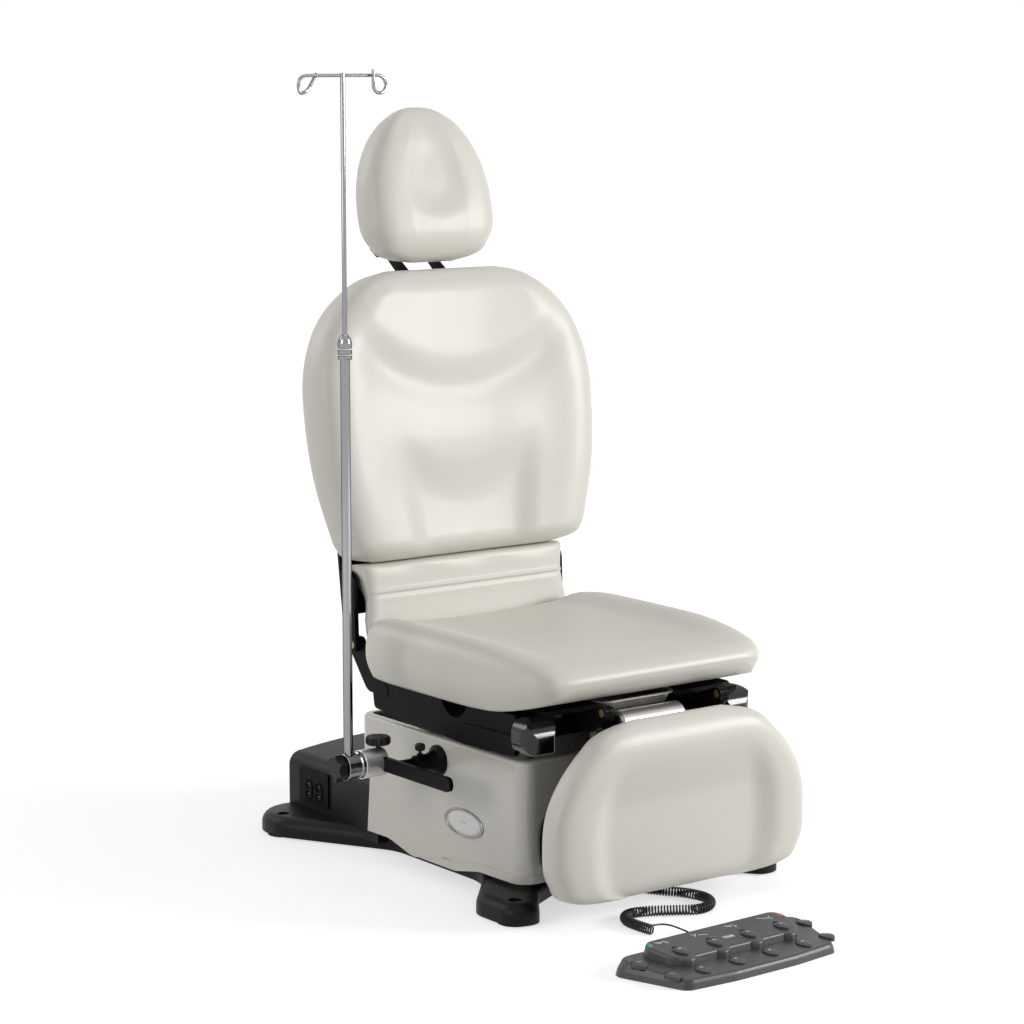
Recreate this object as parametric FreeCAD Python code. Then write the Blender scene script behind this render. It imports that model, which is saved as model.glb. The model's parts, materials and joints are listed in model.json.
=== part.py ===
import FreeCAD, Part
import math
import os
from FreeCAD import Vector

# Power procedure chair with pole and foot control. Millimetres, +Z up, the chair faces -Y.
# The origin is on the floor, at the centre of the four floor anchors.

# Clearances
RUN = 0.05            # radial play of a pin or shaft that turns
SLIDE = 0.4           # play of a sliding piece, each side
AIR = 1.5             # gap between neighbours on different bodies
SEAM = 0.3            # half of the gap in a cover seam
PAD_GAP = 2.0         # gap between the back of a pad and the shell behind it

# Floor casting
ANCHOR_X = 310.0      # anchor hole from the centre line
ANCHOR_Y = 410.0      # anchor hole in front of and behind the origin
ANCHOR_R = 6.0
SINK_R = 13.0         # recess round the anchor's head
SINK_DEEP = 4.0
PAD_R = 34.0          # round pad under each anchor
PAD_H = 3.0
CASTING_TOP = 44.0
CASTING_ROUND = 24.0  # rounding of its top edge
WAIST = 205.0         # half width of the casting between its feet
WAIST_BACK = 140.0
WAIST_FRONT = 170.0
LOBE_SIDE = 32.0      # rear lobe past its anchor, sideways
LOBE_REAR = 92.0
TOE_SIDE = 36.0
TOE_FRONT = 45.0
TOE_INNER = 26.0
NOTCH_X = 110.0       # half width of the front notch at its root
NOTCH_DEEP = 158.0    # front notch, from the toes' tips

# Covers of the lift
COVER_X = 258.0       # half width
COVER_FRONT = 366.0   # distance in front of the origin
COVER_BACK = 200.0
COVER_TOP = 296.0
COVER_WALL = 4.0
COVER_LIP = 18.0      # inward lip round the top opening
COVER_CORNER = 34.0
COVER_EDGE = 8.0      # rounding of the top edge
COVER_LOW = 54.0      # lower edge at the front and back corners
COVER_DIP = 34.0      # lowest point of the wavy lower edge
BAND_H = 17.0         # height of the raised band along the lower edge
BAND_OUT = 3.0
FLARE_OUT = 12.0      # how far the lower rear corner of a side stands out
FLARE_TOP = 200.0
FLARE_FRONT = 200.0   # where the crease of the flare runs out, in front of the origin
SEAM_X = 212.0        # seams between the side covers and the front and back covers

# Rear housing with its outlets and inlet
HOUSING_X = 240.0
HOUSING_FRONT = 156.0
HOUSING_BACK = 505.0
HOUSING_SHOULDER = 150.0
HOUSING_CROWN = 168.0
HOUSING_ROUND = 30.0
OUTLET_Y = 393.0      # centre of the outlet panel
OUTLET_Z = 94.0
OUTLET_W = 111.0
OUTLET_H = 76.0
OUTLET_THICK = 4.0
OUTLET_STEP = 38.0    # spacing of the receptacles
RECEPTACLE_W = 29.0
RECEPTACLE_H = 44.0
INLET_X = 150.0
INLET_Z = 92.0
INLET_W = 50.0
INLET_H = 34.0
INLET_DEEP = 16.0
INLET_WALL = 8.0

# Lift column, four nested square tubes
COLUMN_Y = -80.0
COLUMN_HALF = 78.0    # half side of the outermost tube
COLUMN_WALL = 5.0
COLUMN_GAP = 0.8
COLUMN_LENGTH = 246.0
COLUMN_STEP = 3.0     # each tube stands this much higher than the one round it
JACK_R = 24.0
JACK_TOP = 280.0

# Tilt yoke on the column
YOKE_Z = 301.0        # underside of the yoke plate
YOKE_THICK = 8.0
YOKE_X = 150.0
YOKE_FRONT = 240.0
TILT_Y = 135.0
TILT_Z = 342.0
TILT_PIN_R = 10.0
TILT_LUG_R = 22.0
TILT_LUG_X = 110.0    # inner face of a yoke lug
LUG_THICK = 12.0

# Seat frame
PLATE_TOP = 398.0
PLATE_THICK = 8.0
PLATE_X = 235.0
PLATE_FRONT = 400.0
PLATE_BACK = 135.0
RAIL_W = 30.0
RAIL_H = 58.0
CROSS_X = 256.0       # half length of the cross members
CROSS_W = 40.0
CROSS_H = 42.0
CROSS_BACK_Y = 70.0
PIN_R = 8.0           # hinge pins of the back and the leg rest
EAR_THICK = 10.0

# Side skirts and front end caps
SKIRT_X = 266.0       # inner face of a skirt
SKIRT_THICK = 6.0
SKIRT_BACK = 130.0
SKIRT_FRONT = 366.0
SKIRT_TOP = 390.0
SKIRT_LOW_BACK = 322.0
SKIRT_LOW_FRONT = 304.0
SKIRT_STEP_Y = 190.0  # start of the thicker front block
SKIRT_BLOCK_TOP = 352.0
SKIRT_BLOCK_OUT = 4.0
SKIRT_NOTCH_Y = 160.0
SKIRT_NOTCH_R = 46.0
DISC_R = 15.0
CAP_INNER = 214.0
CAP_OUTER = 286.0
CAP_FRONT = 422.0
CAP_LOW = 316.0
CAP_TOP = 390.0
CAP_ROUND = 44.0
CAP_EDGE = 30.0

# Debris tray and leg drive
TRAY_X = 98.0
TRAY_FRONT = 408.0
TRAY_BACK = 200.0
TRAY_DEEP = 18.0
TRAY_WALL = 1.6
TRAY_RIM = 6.0
TRAY_CORNER = 22.0
DRIVE_Y = 430.0       # leg drive, in front of the origin
DRIVE_Z = 361.0
DRIVE_R = 26.0
DRIVE_HALF = 80.0
DRIVE_PLATE = 6.0

# Seat pad
SEAT_HALF = 312.0
SEAT_FRONT = 475.0
SEAT_BACK = 140.0
SEAT_BOTTOM = 404.0
SEAT_THICK = 111.0
SEAT_DISH = 20.0
SEAT_DROOP = 14.0     # overhang of the seat pad's sides below its flat bottom
SEAT_FLAT = 242.0     # half width of the flat bottom

# Back, drawn upright and then leaned about its hinge
BACK_Y = 200.0
BACK_Z = 440.0
BACK_LEAN = 7.5       # degrees from upright
BACK_HALF = 356.0
BACK_LOW = 606.0
BACK_HIGH = 1204.0
BACK_REAR = 8.0       # back of the pad behind the hinge
BACK_THICK = 112.0
BACK_DISH = 22.0
BACK_SHELL = 8.0
BACK_SHELL_IN = 34.0
BACK_FRAME = 8.0
BACK_FRAME_TOP = 930.0
BACK_EAR_X = 262.0    # inner face of a back ear
FLAP_HALF = 268.0
FLAP_Y = 147.0        # front of the flap under the pad, upright
FLAP_THICK = 12.0
FLAP_FOLD = 521.0
FLAP_LOW = 452.0      # lower end, behind the seat pad's rear edge
FLAP_TOE = 1.5        # the strip's lower end leans this far towards the seat
BACK_DRIVE_R = 30.0
BACK_DRIVE_HALF = 90.0

# Headrest
HEAD_BAR_X = 48.0     # centre of a prong
HEAD_BAR_W = 22.0
HEAD_BAR_T = 8.0
HEAD_BAR_LOW = BACK_FRAME_TOP + 10 * AIR
SLEEVE_LOW = HEAD_BAR_LOW + 55     # sleeves of the prongs in the back shell
SLEEVE_HIGH = 1144.0
HEAD_PIVOT_Y = 280.0
HEAD_PIVOT_Z = 1250.0
HEAD_PIN_R = 6.0
HEAD_BARREL_R = 11.0
HEAD_TILT = 12.0
HEAD_Y = 137.0        # front of the pad at its lower end, before tilting
HEAD_LOW = 1211.0
HEAD_TALL = 331.0
HEAD_HALF = 159.0
HEAD_THICK = 96.0
HEAD_DISH = 16.0
HEAD_SHELL = 8.0
SOCKET_WALL = 4.0

# Leg rest
LEG_Y = -480.0
LEG_Z = 401.0
LEG_BARREL_R = 13.0
LEG_EAR_X = 134.0     # inner face of a leg ear
LEG_HALF = 318.0
LEG_LOW = 42.0
LEG_HIGH = 391.0
LEG_THICK = 68.0
LEG_DISH = 14.0
LEG_SHELL = 10.0
LEG_SHELL_IN = 5.0
LEG_FRAME = 7.0

# Accessory arm, clamp and pole
ARM_Y = -87.0
ARM_Z = 249.0
CLAMP_Y = -25.0       # the clamp and the pole stand behind the arm's axis
ARM_R = 12.5
ARM_IN = 240.0        # inner end of the arm's rod, left of the centre line
SOCKET_OUT = 318.0    # outer end of the socket tube
SOCKET_R = 17.0
FLARE_R = 31.0        # trumpet of the socket at the cover
FLARE_L = 26.0
SCREW_X = 303.0
SCREW_R = 3.0
SCREW_HEAD_R = 10.5
SCREW_HEAD_Z = 275.0
SCREW_HEAD_H = 14.0
RAIL_X = 357.0        # inner face of the accessory rail
RAIL_THICK = 9.5
RAIL_HIGH = 28.6
RAIL_BACK = 97.0      # rail past the arm's axis, backwards
RAIL_FRONT = 188.0
CLAMP_IN = RAIL_X - 2 * AIR
CLAMP_OUT = 407.0
CLAMP_R = 29.0
KNOB_X = RAIL_X + RAIL_THICK / 2
KNOB_R = 25.5
KNOB_Z = 285.0
KNOB_H = 16.0
KNOB_STEM_R = 5.0
KNOB_LOBES = 9
KNOB_SCALLOP = 5.0
COLLAR_LONG = 39.0
COLLAR_OUT = CLAMP_OUT + COLLAR_LONG
COLLAR_R = 27.0
STAR_R = 27.0
STAR_H = 19.0
STAR_LOBES = 6
STAR_STEM_R = 6.0
STAR_BITE = 2.6       # depth of the star knob's stem in the collar
POLE_X = CLAMP_OUT + 2 * COLLAR_LONG / 3
POLE_R = 9.5
POLE_WALL = 1.2
POLE_SEAT = ARM_Z - 0.6 * COLLAR_R     # bottom of the pole in its collar
POLE_TOP = 1066.0
LOCK_R = 14.0
LOCK_LOW = 1060.0
LOCK_HIGH = 1108.0
ROD_R = 4.75
ROD_LOW = 850.0
ROD_TOP = 1606.0
BUSH_H = 20.0
HOOK_R = 3.2
HOOK_REACH = 82.0     # where the bar bends down into a hook, from the pole
HOOK_LOOP_R = 17.0
HOOK_ASIDE = 9.0      # a hook's tip passes this far in front of or behind the bar
HOOK_TIP = 12.0       # right-hand tip above the bar

# Foot control, drawn about the middle of its front edge
PEDAL_X = -136.0
PEDAL_Y = -930.0
PEDAL_TURN = 1.7
PEDAL_FRONT_HALF = 186.0
PEDAL_BACK_HALF = 238.0
PEDAL_DEEP = 166.0
PEDAL_BOW = 10.0
PEDAL_LIP = 19.0      # height of the lower deck at its front edge
PEDAL_RISE = 13.0     # rise of the lower deck to the back
PEDAL_EDGE = 8.0      # rounding of the lower deck's rim
TIER_FRONT = 58.0
TIER_BACK = 156.0
TIER_FRONT_HALF = 158.0
TIER_BACK_HALF = 186.0
TIER_LIP = 37.0       # height of the upper deck at its front edge
TIER_RISE = 16.0
TIER_EDGE = 6.0       # rounding of the upper deck's rim
TIER_SLOPE = 8.0      # how far the upper deck's sides lean in
BUTTON_LONG = 20.0    # half length of a button, front to back
BUTTON_WIDE = 13.0    # half width
BUTTON_DOME = 5.0     # height of a button above its deck
BUTTON_SEAT = 5.0     # depth of a button in its deck, travel left out
BUTTON_TRAVEL = 2.5
BUTTON_PITCH = 84.0
UP_ROW = 88.0         # distance of the raising buttons behind the front edge
DOWN_ROW = 28.0
CORNER_X = 206.0
CORNER_BACK = 108.0
CORNER_FRONT = 34.0
CORNER_IN = 14.0      # front corner buttons stand this much nearer the middle

# Curly cord of the foot control
WIRE = 3.6            # diameter
CURL_R = 8.2          # radius of the curls at the wire's centre
CURL_PITCH = 6.0
GROMMET_R = 7.0
GROMMET_L = 9.0
CORD_EXIT_X = -4.0
CORD_EXIT_Z = 20.0
PEDAL_ENTRY_X = -104.0
PEDAL_ENTRY_Z = 14.0
CURL_ROUTE = [(-2, -352), (8, -400), (30, -440), (60, -481), (73, -528), (52, -570), (8, -588), (-40, -558),
              (-86, -530), (-124, -524), (-151, -545), (-161, -585), (-155, -634)]
TAIL_ROUTE = [(-118, -634, 16), (-104, -668, 9), (-106, -712, 7)]

X_AXIS = Vector(1, 0, 0)
Y_AXIS = Vector(0, 1, 0)
Z_AXIS = Vector(0, 0, 1)


def flat(a, b):
    """Point on the floor plan."""
    return Vector(a, b, 0)


def side(a, b):
    """Point in the chair's plane of symmetry, from (y, z)."""
    return Vector(0, a, b)


def front(a, b):
    """Point in the plane that faces the front, from (x, z)."""
    return Vector(a, 0, b)


def rounded_wire(corners, plane):
    """Closed outline of straight sides with tangent arcs; each corner is (a, b, radius), 0 for a sharp one."""
    points = [plane(a, b) for a, b, _ in corners]
    ends = []
    edges = []
    for index, corner in enumerate(points):
        before = (points[index - 1] - corner).normalize()
        after = (points[(index + 1) % len(points)] - corner).normalize()
        radius = corners[index][2]
        if radius == 0:
            ends.append((corner, corner))
            continue
        half = before.getAngle(after) / 2
        reach = radius / math.tan(half)
        inward = (before + after).normalize()
        middle = corner + inward * (radius / math.sin(half) - radius)
        ends.append((corner + before * reach, corner + after * reach))
        edges.append(Part.Arc(ends[-1][0], middle, ends[-1][1]).toShape())
    for index, (_, leave) in enumerate(ends):
        arrive = ends[(index + 1) % len(ends)][0]
        if (arrive - leave).Length > 1e-6:
            edges.append(Part.makeLine(leave, arrive))
    return Part.Wire(Part.__sortEdges__(edges))


def slab(corners, plane, start, depth):
    """Outline pushed from start along the plane's normal by depth."""
    normal = {flat: Z_AXIS, side: X_AXIS, front: Y_AXIS}[plane]
    face = Part.Face(rounded_wire(corners, plane))
    face.translate(normal * start)
    return face.extrude(normal * depth)


def mirrored(corners):
    """Outline for the positive side, completed by its mirror image in the first coordinate."""
    return corners + [(-a, b, r) for a, b, r in reversed(corners)]


def box(low, high):
    """Block between two corners."""
    size = [b - a for a, b in zip(low, high)]
    return Part.makeBox(size[0], size[1], size[2], Vector(*low))


def bar(start, end, radius):
    """Round bar between two points."""
    way = end - start
    return Part.makeCylinder(radius, way.Length, start, way)


def across(x0, x1, y, z, radius):
    """Round bar along X."""
    return bar(Vector(x0, y, z), Vector(x1, y, z), radius)


def upright(x, y, z0, z1, radius):
    """Round bar along Z."""
    return bar(Vector(x, y, z0), Vector(x, y, z1), radius)


def turned(profile, centre, axis):
    """Solid of revolution; the profile is (radius, distance along the axis)."""
    points = [Vector(radius, 0, along) for radius, along in profile]
    face = Part.Face(Part.makePolygon(points + points[:1]))
    solid = face.revolve(Vector(0, 0, 0), Z_AXIS, 360)
    solid.Placement = FreeCAD.Placement(centre, FreeCAD.Rotation(Z_AXIS, axis))
    return solid


def other_side(shape):
    """Mirror image in the chair's plane of symmetry."""
    return shape.mirror(Vector(0, 0, 0), X_AXIS)


def both_sides(shape):
    """The shape and its mirror image as separate solids."""
    return Part.makeCompound([shape, other_side(shape)])


def edges_at(shape, test):
    """Edges whose end points all pass the test."""
    return [edge for edge in shape.Edges if all(test(vertex.Point) for vertex in edge.Vertexes)]


def near(a, b):
    """Whether two lengths agree."""
    return abs(a - b) < 1e-4


# Upholstered pads

CREST = 62.0          # crest of a side bolster, in from the pad's widest line
TUCK = 16.0           # how far the sides are drawn in at the back


def pad_section(half, thick, dish, place, droop=0, level=0.6):
    """Closed section: flat back, sides that swell and draw in, two crests and a face dished between them."""
    crest = min(CREST, 0.45 * half)
    tuck = min(TUCK, 0.3 * half)
    right = [(half - tuck, -droop), (half, 0.42 * thick), (half - 0.10 * crest, 0.76 * thick),
             (half - 0.42 * crest, 0.955 * thick), (half - crest, thick)]
    left = [(-u, v) for u, v in reversed(right)]
    bow = (0, thick - dish)
    p = [place(u, v) for u, v in right + [bow] + left]
    arcs = [(0, 1, 2), (2, 3, 4), (4, 5, 6), (6, 7, 8), (8, 9, 10)]
    edges = [Part.Arc(p[a], p[b], p[c]).toShape() for a, b, c in arcs]
    inner = [place(-level * half, 0), place(level * half, 0)]
    edges += [Part.makeLine(a, b) for a, b in zip([p[10]] + inner, inner + [p[0]])]
    return Part.Wire(edges)


def pad_loft(sections):
    """Smooth solid through the sections."""
    return Part.makeLoft(sections, True, False)


# Floor casting

def casting_body():
    """Hourglass body with two rear lobes and two toes, its top edge well rounded."""
    toe_tip = -(ANCHOR_Y + TOE_FRONT)
    right = [(ANCHOR_X + LOBE_SIDE, ANCHOR_Y + LOBE_REAR, 80), (ANCHOR_X + LOBE_SIDE, ANCHOR_Y - 25, 70),
             (WAIST, WAIST_BACK, 120), (WAIST, -WAIST_FRONT, 120), (ANCHOR_X + TOE_SIDE, 80 - ANCHOR_Y, 60),
             (ANCHOR_X + TOE_SIDE, toe_tip, 42), (ANCHOR_X - TOE_INNER, toe_tip, 30),
             (ANCHOR_X - 102, toe_tip + 104, 40), (NOTCH_X, toe_tip + NOTCH_DEEP, 60)]
    body = slab(mirrored(right), flat, PAD_H, CASTING_TOP - PAD_H)
    return body.makeFillet(CASTING_ROUND, edges_at(body, lambda p: near(p.z, CASTING_TOP)))


def base_casting():
    """The casting on four pads, with a recessed anchor hole over each pad and a hole for the cord's grommet."""
    body = casting_body()
    for x in (-ANCHOR_X, ANCHOR_X):
        for y in (-ANCHOR_Y, ANCHOR_Y):
            body = body.fuse(upright(x, y, 0, PAD_H + 1, PAD_R))
            body = body.cut(upright(x, y, -1, CASTING_TOP + 1, ANCHOR_R))
            body = body.cut(upright(x, y, CASTING_TOP - SINK_DEEP, CASTING_TOP + 1, SINK_R))
    exit_y = NOTCH_DEEP - ANCHOR_Y - TOE_FRONT
    hole = bar(Vector(CORD_EXIT_X, exit_y - 1, CORD_EXIT_Z), Vector(CORD_EXIT_X, exit_y + GROMMET_L, CORD_EXIT_Z),
               GROMMET_R)
    return body.cut(hole).removeSplitter()


# Covers

def lower_edge(rise):
    """Line of the covers' lower edge seen from the side, raised by rise, closed far below the floor."""
    dip = COVER_DIP + rise
    low = COVER_LOW + rise
    far = 3 * COVER_BACK
    return [(far, low, 0), (0.4 * COVER_BACK, low, 90), (0, dip, 90), (-0.40 * COVER_FRONT, dip, 60),
            (-0.62 * COVER_FRONT, low - 4, 60), (-far, low, 0), (-far, -far, 0), (far, -far, 0)]


def cover_plan(grow, corner):
    """Rounded rectangle of the covers' outside, grown by grow."""
    x = COVER_X + grow
    return mirrored([(x, COVER_BACK + grow, corner), (x, -COVER_FRONT - grow, corner)])


def cover_ring():
    """All covers in one: walls with a lip round the open top and a raised band along the wavy lower edge."""
    ring = slab(cover_plan(0, COVER_CORNER), flat, 0, COVER_TOP)
    ring = ring.makeFillet(COVER_EDGE, edges_at(ring, lambda p: near(p.z, COVER_TOP)))
    band = slab(cover_plan(BAND_OUT, COVER_CORNER + BAND_OUT), flat, 0, COVER_LOW + BAND_H + 1)
    above_band = box((-2 * COVER_X, -2 * COVER_FRONT, 0), (2 * COVER_X, 2 * COVER_BACK, COVER_TOP))
    above_band = above_band.cut(slab(lower_edge(BAND_H), side, -2 * COVER_X, 4 * COVER_X))
    ring = ring.fuse(band.cut(above_band)).fuse(cover_flare()).fuse(other_side(cover_flare()))
    room = COVER_CORNER - COVER_WALL
    ring = ring.cut(slab(cover_plan(-COVER_WALL, room), flat, -1, COVER_TOP - COVER_WALL + 1))
    ring = ring.cut(slab(cover_plan(-COVER_LIP, COVER_CORNER - COVER_LIP), flat, 0, COVER_TOP + 1))
    ring = ring.cut(slab(lower_edge(0), side, -2 * COVER_X, 4 * COVER_X))
    housing_room = box((-2 * COVER_X, HOUSING_FRONT - AIR, -1),
                       (2 * COVER_X, 2 * COVER_BACK, HOUSING_CROWN + 4 * AIR))
    ring = ring.cut(housing_room)
    return ring.cut(across(-2 * COVER_X, 0, ARM_Y, ARM_Z, SOCKET_R + SLIDE))


def cover_flare():
    """Wedge that stands out of the left side's lower rear corner, under a sloping crease."""
    back = HOUSING_FRONT - AIR
    top = Vector(-COVER_X, back, FLARE_TOP)
    toe = Vector(-COVER_X, -FLARE_FRONT, COVER_LOW + BAND_H)
    heel = Vector(-COVER_X, back, 0)
    out = Vector(-COVER_X - FLARE_OUT, back, 0)
    corners = [(top, toe, out), (top, heel, toe), (heel, out, toe), (top, out, heel)]
    shell = Part.Shell([Part.Face(Part.makePolygon([a, b, c, a])) for a, b, c in corners])
    solid = Part.Solid(shell)
    if solid.Volume < 0:
        solid.reverse()
    return solid


def cover_pieces():
    """The ring parted at its seams into left, right, front and back covers."""
    ring = cover_ring()
    wide = 2 * COVER_X
    long = 2 * COVER_FRONT
    left = ring.common(box((-wide, -long, -1), (-SEAM_X - SEAM, long, wide)))
    right = ring.common(box((SEAM_X + SEAM, -long, -1), (wide, long, wide)))
    middle = SEAM_X - SEAM
    ahead = ring.common(box((-middle, -long, -1), (middle, 0, wide)))
    behind = ring.common(box((-middle, 0, -1), (middle, long, wide)))
    return left, right, ahead, behind


# Rear housing

def rear_housing():
    """Crowned housing of the power supply, rounded along its shoulders and its rear edge, set over the casting."""
    shoulder = HOUSING_SHOULDER
    crown = Part.Arc(front(-HOUSING_X, shoulder), front(0, HOUSING_CROWN), front(HOUSING_X, shoulder)).toShape()
    foot = CASTING_TOP - CASTING_ROUND
    walls = Part.makePolygon([front(HOUSING_X, shoulder), front(HOUSING_X, foot), front(-HOUSING_X, foot),
                              front(-HOUSING_X, shoulder)])
    face = Part.Face(Part.Wire([crown] + walls.Edges))
    face.translate(Vector(0, HOUSING_FRONT, 0))
    body = face.extrude(Vector(0, HOUSING_BACK - HOUSING_FRONT, 0))
    shoulders = edges_at(body, lambda p: near(p.z, shoulder) and near(abs(p.x), HOUSING_X))
    shoulders = [edge for edge in shoulders if near(edge.Vertexes[0].X, edge.Vertexes[1].X)]
    body = body.makeFillet(HOUSING_ROUND, shoulders)
    rear = edges_at(body, lambda p: near(p.y, HOUSING_BACK))
    rear = [edge for edge in rear if edge.BoundBox.ZMax > CASTING_TOP + 1]
    return body.makeFillet(HOUSING_ROUND / 2, rear).cut(casting_body())


def outlet_panel():
    """Panel on the housing's left side with two oval receptacles let into it."""
    wall = -HOUSING_X
    half = OUTLET_W / 2
    low = OUTLET_Z - OUTLET_H / 2
    high = OUTLET_Z + OUTLET_H / 2
    plate = slab([(OUTLET_Y - half, low, 4), (OUTLET_Y + half, low, 4), (OUTLET_Y + half, high, 4),
                  (OUTLET_Y - half, high, 4)], side, wall - OUTLET_THICK, OUTLET_THICK)
    solids = []
    for place in (-OUTLET_STEP / 2, OUTLET_STEP / 2):
        y = OUTLET_Y + place
        oval = receptacle(y, low + RECEPTACLE_H / 2 + 8, wall)
        plate = plate.cut(oval)
        solids.append(wells(oval, y, low + RECEPTACLE_H / 2 + 8, wall))
    return Part.makeCompound([plate] + solids)


def receptacle(y, z, wall):
    """Oval block of a receptacle that stands a little proud of the panel."""
    r = RECEPTACLE_W / 2 - 0.5
    w = RECEPTACLE_W / 2
    h = RECEPTACLE_H / 2
    proud = OUTLET_THICK + 2
    return slab([(y - w, z - h, r), (y + w, z - h, r), (y + w, z + h, r), (y - w, z + h, r)], side, wall - proud,
                proud)


def wells(oval, y, z, wall):
    """The receptacle with its two round wells."""
    mouth = wall - OUTLET_THICK - 3
    for dz in (-RECEPTACLE_H / 4, RECEPTACLE_H / 4):
        oval = oval.cut(across(mouth, mouth + 4, y, z + dz, 0.31 * RECEPTACLE_W))
    return oval


def mains_inlet():
    """Appliance inlet on the housing's rear wall, a socket open to the back."""
    y = HOUSING_BACK
    w = INLET_W / 2
    h = INLET_H / 2
    outside = slab([(INLET_X - w, INLET_Z - h, 4), (INLET_X + w, INLET_Z - h, 4), (INLET_X + w, INLET_Z + h, 4),
                    (INLET_X - w, INLET_Z + h, 4)], front, y, INLET_DEEP)
    w -= INLET_WALL
    h -= INLET_WALL
    inside = slab([(INLET_X - w, INLET_Z - h, 1), (INLET_X + w, INLET_Z - h, 1), (INLET_X + w, INLET_Z + h, 3),
                   (INLET_X - w, INLET_Z + h, 3)], front, y + 3, INLET_DEEP)
    return outside.cut(inside)


# Lift column and yoke

def column_tube(stage):
    """Square tube of the lift; stage 0 is the fixed outermost one."""
    half = COLUMN_HALF - stage * (COLUMN_WALL + COLUMN_GAP)
    low = CASTING_TOP + stage * COLUMN_STEP
    outline = mirrored([(half, COLUMN_Y + half, 10), (half, COLUMN_Y - half, 10)])
    room = half - COLUMN_WALL
    bore = mirrored([(room, COLUMN_Y + room, 6), (room, COLUMN_Y - room, 6)])
    tube = slab(outline, flat, low, COLUMN_LENGTH)
    return tube.cut(slab(bore, flat, low - 1, COLUMN_LENGTH + 2))


def lift_jack():
    """Motor and screw housing that stands inside the column."""
    foot = CASTING_TOP
    return turned([(0, foot), (JACK_R + 14, foot), (JACK_R + 14, foot + 60), (JACK_R, foot + 74),
                   (JACK_R, JACK_TOP - 20), (JACK_R - 9, JACK_TOP - 16), (JACK_R - 9, JACK_TOP), (0, JACK_TOP)],
                  Vector(0, COLUMN_Y, 0), Z_AXIS)


def carriage():
    """Innermost tube with the yoke plate on top and two lugs for the tilt pin."""
    tube = column_tube(3)
    tube_top = CASTING_TOP + 3 * COLUMN_STEP + COLUMN_LENGTH
    half = COLUMN_HALF - 3 * (COLUMN_WALL + COLUMN_GAP)
    neck = box((-half, COLUMN_Y - half, tube_top - 2), (half, COLUMN_Y + half, YOKE_Z + 1))
    back = TILT_Y + TILT_LUG_R
    plate = slab(mirrored([(YOKE_X, back, 20), (YOKE_X, -YOKE_FRONT, 30)]), flat, YOKE_Z, YOKE_THICK)
    body = tube.fuse(neck).fuse(plate)
    top = YOKE_Z + YOKE_THICK
    lug = slab([(TILT_Y - 2 * TILT_LUG_R, top, 0), (back, top, 0), (back, TILT_Z + TILT_LUG_R, TILT_LUG_R - 2),
                (TILT_Y - TILT_LUG_R, TILT_Z + TILT_LUG_R, TILT_LUG_R - 2)], side, TILT_LUG_X, LUG_THICK)
    body = body.fuse(lug).fuse(other_side(lug))
    return body.cut(across(-YOKE_X, YOKE_X, TILT_Y, TILT_Z, TILT_PIN_R + RUN)).removeSplitter()


# Seat frame and what it carries

def seat_plate():
    """Plate under the pad with the two tilt lugs, open at the front for the debris tray."""
    low = PLATE_TOP - PLATE_THICK
    plate = slab(mirrored([(PLATE_X, PLATE_BACK, 20), (PLATE_X, -PLATE_FRONT, 20)]), flat, low, PLATE_THICK)
    room = TRAY_X - TRAY_RIM + SLIDE
    gap = box((-room, -PLATE_FRONT - 1, low - 1), (room, -TRAY_BACK - TRAY_RIM + SLIDE, PLATE_TOP + 1))
    lug = slab([(TILT_Y - 2 * TILT_LUG_R, low + 1, 0), (PLATE_BACK, low + 1, 0), (TILT_Y + TILT_LUG_R, TILT_Z, 8),
                (TILT_Y, TILT_Z - TILT_LUG_R, 14), (TILT_Y - TILT_LUG_R, TILT_Z - 4, 8)], side,
               TILT_LUG_X + LUG_THICK + AIR, LUG_THICK)
    body = plate.cut(gap).fuse(lug).fuse(other_side(lug))
    return body.cut(across(-PLATE_X, PLATE_X, TILT_Y, TILT_Z, TILT_PIN_R)).removeSplitter()


def hinge_ears():
    """Right-hand ears of the frame: the back hinge bracket and the leg hinge bracket."""
    low = PLATE_TOP - PLATE_THICK
    back_x = BACK_EAR_X - AIR - EAR_THICK
    cross_low = low - CROSS_H
    back = slab([(CROSS_BACK_Y - CROSS_W / 2, cross_low, 0), (CROSS_BACK_Y - CROSS_W / 2, low, 0),
                 (BACK_Y - 50, low, 10), (BACK_Y - 17, BACK_Z + 17, 12), (BACK_Y + 17, BACK_Z + 17, 14),
                 (BACK_Y + 17, BACK_Z - 22, 14), (BACK_Y - 40, cross_low, 30)], side, back_x, EAR_THICK)
    leg_x = LEG_EAR_X + EAR_THICK + AIR
    reach = LEG_BARREL_R - 1
    leg = slab([(-PLATE_FRONT + CROSS_W, low, 0), (-PLATE_FRONT + CROSS_W, cross_low, 0),
                (LEG_Y + 30, cross_low + 10, 20), (LEG_Y - reach, LEG_Z - reach, 9), (LEG_Y - reach, LEG_Z + reach, 9),
                (LEG_Y + reach, LEG_Z + reach, 9), (-PLATE_FRONT - 12, low, 10)], side, leg_x, EAR_THICK)
    return back.fuse(leg)


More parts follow.
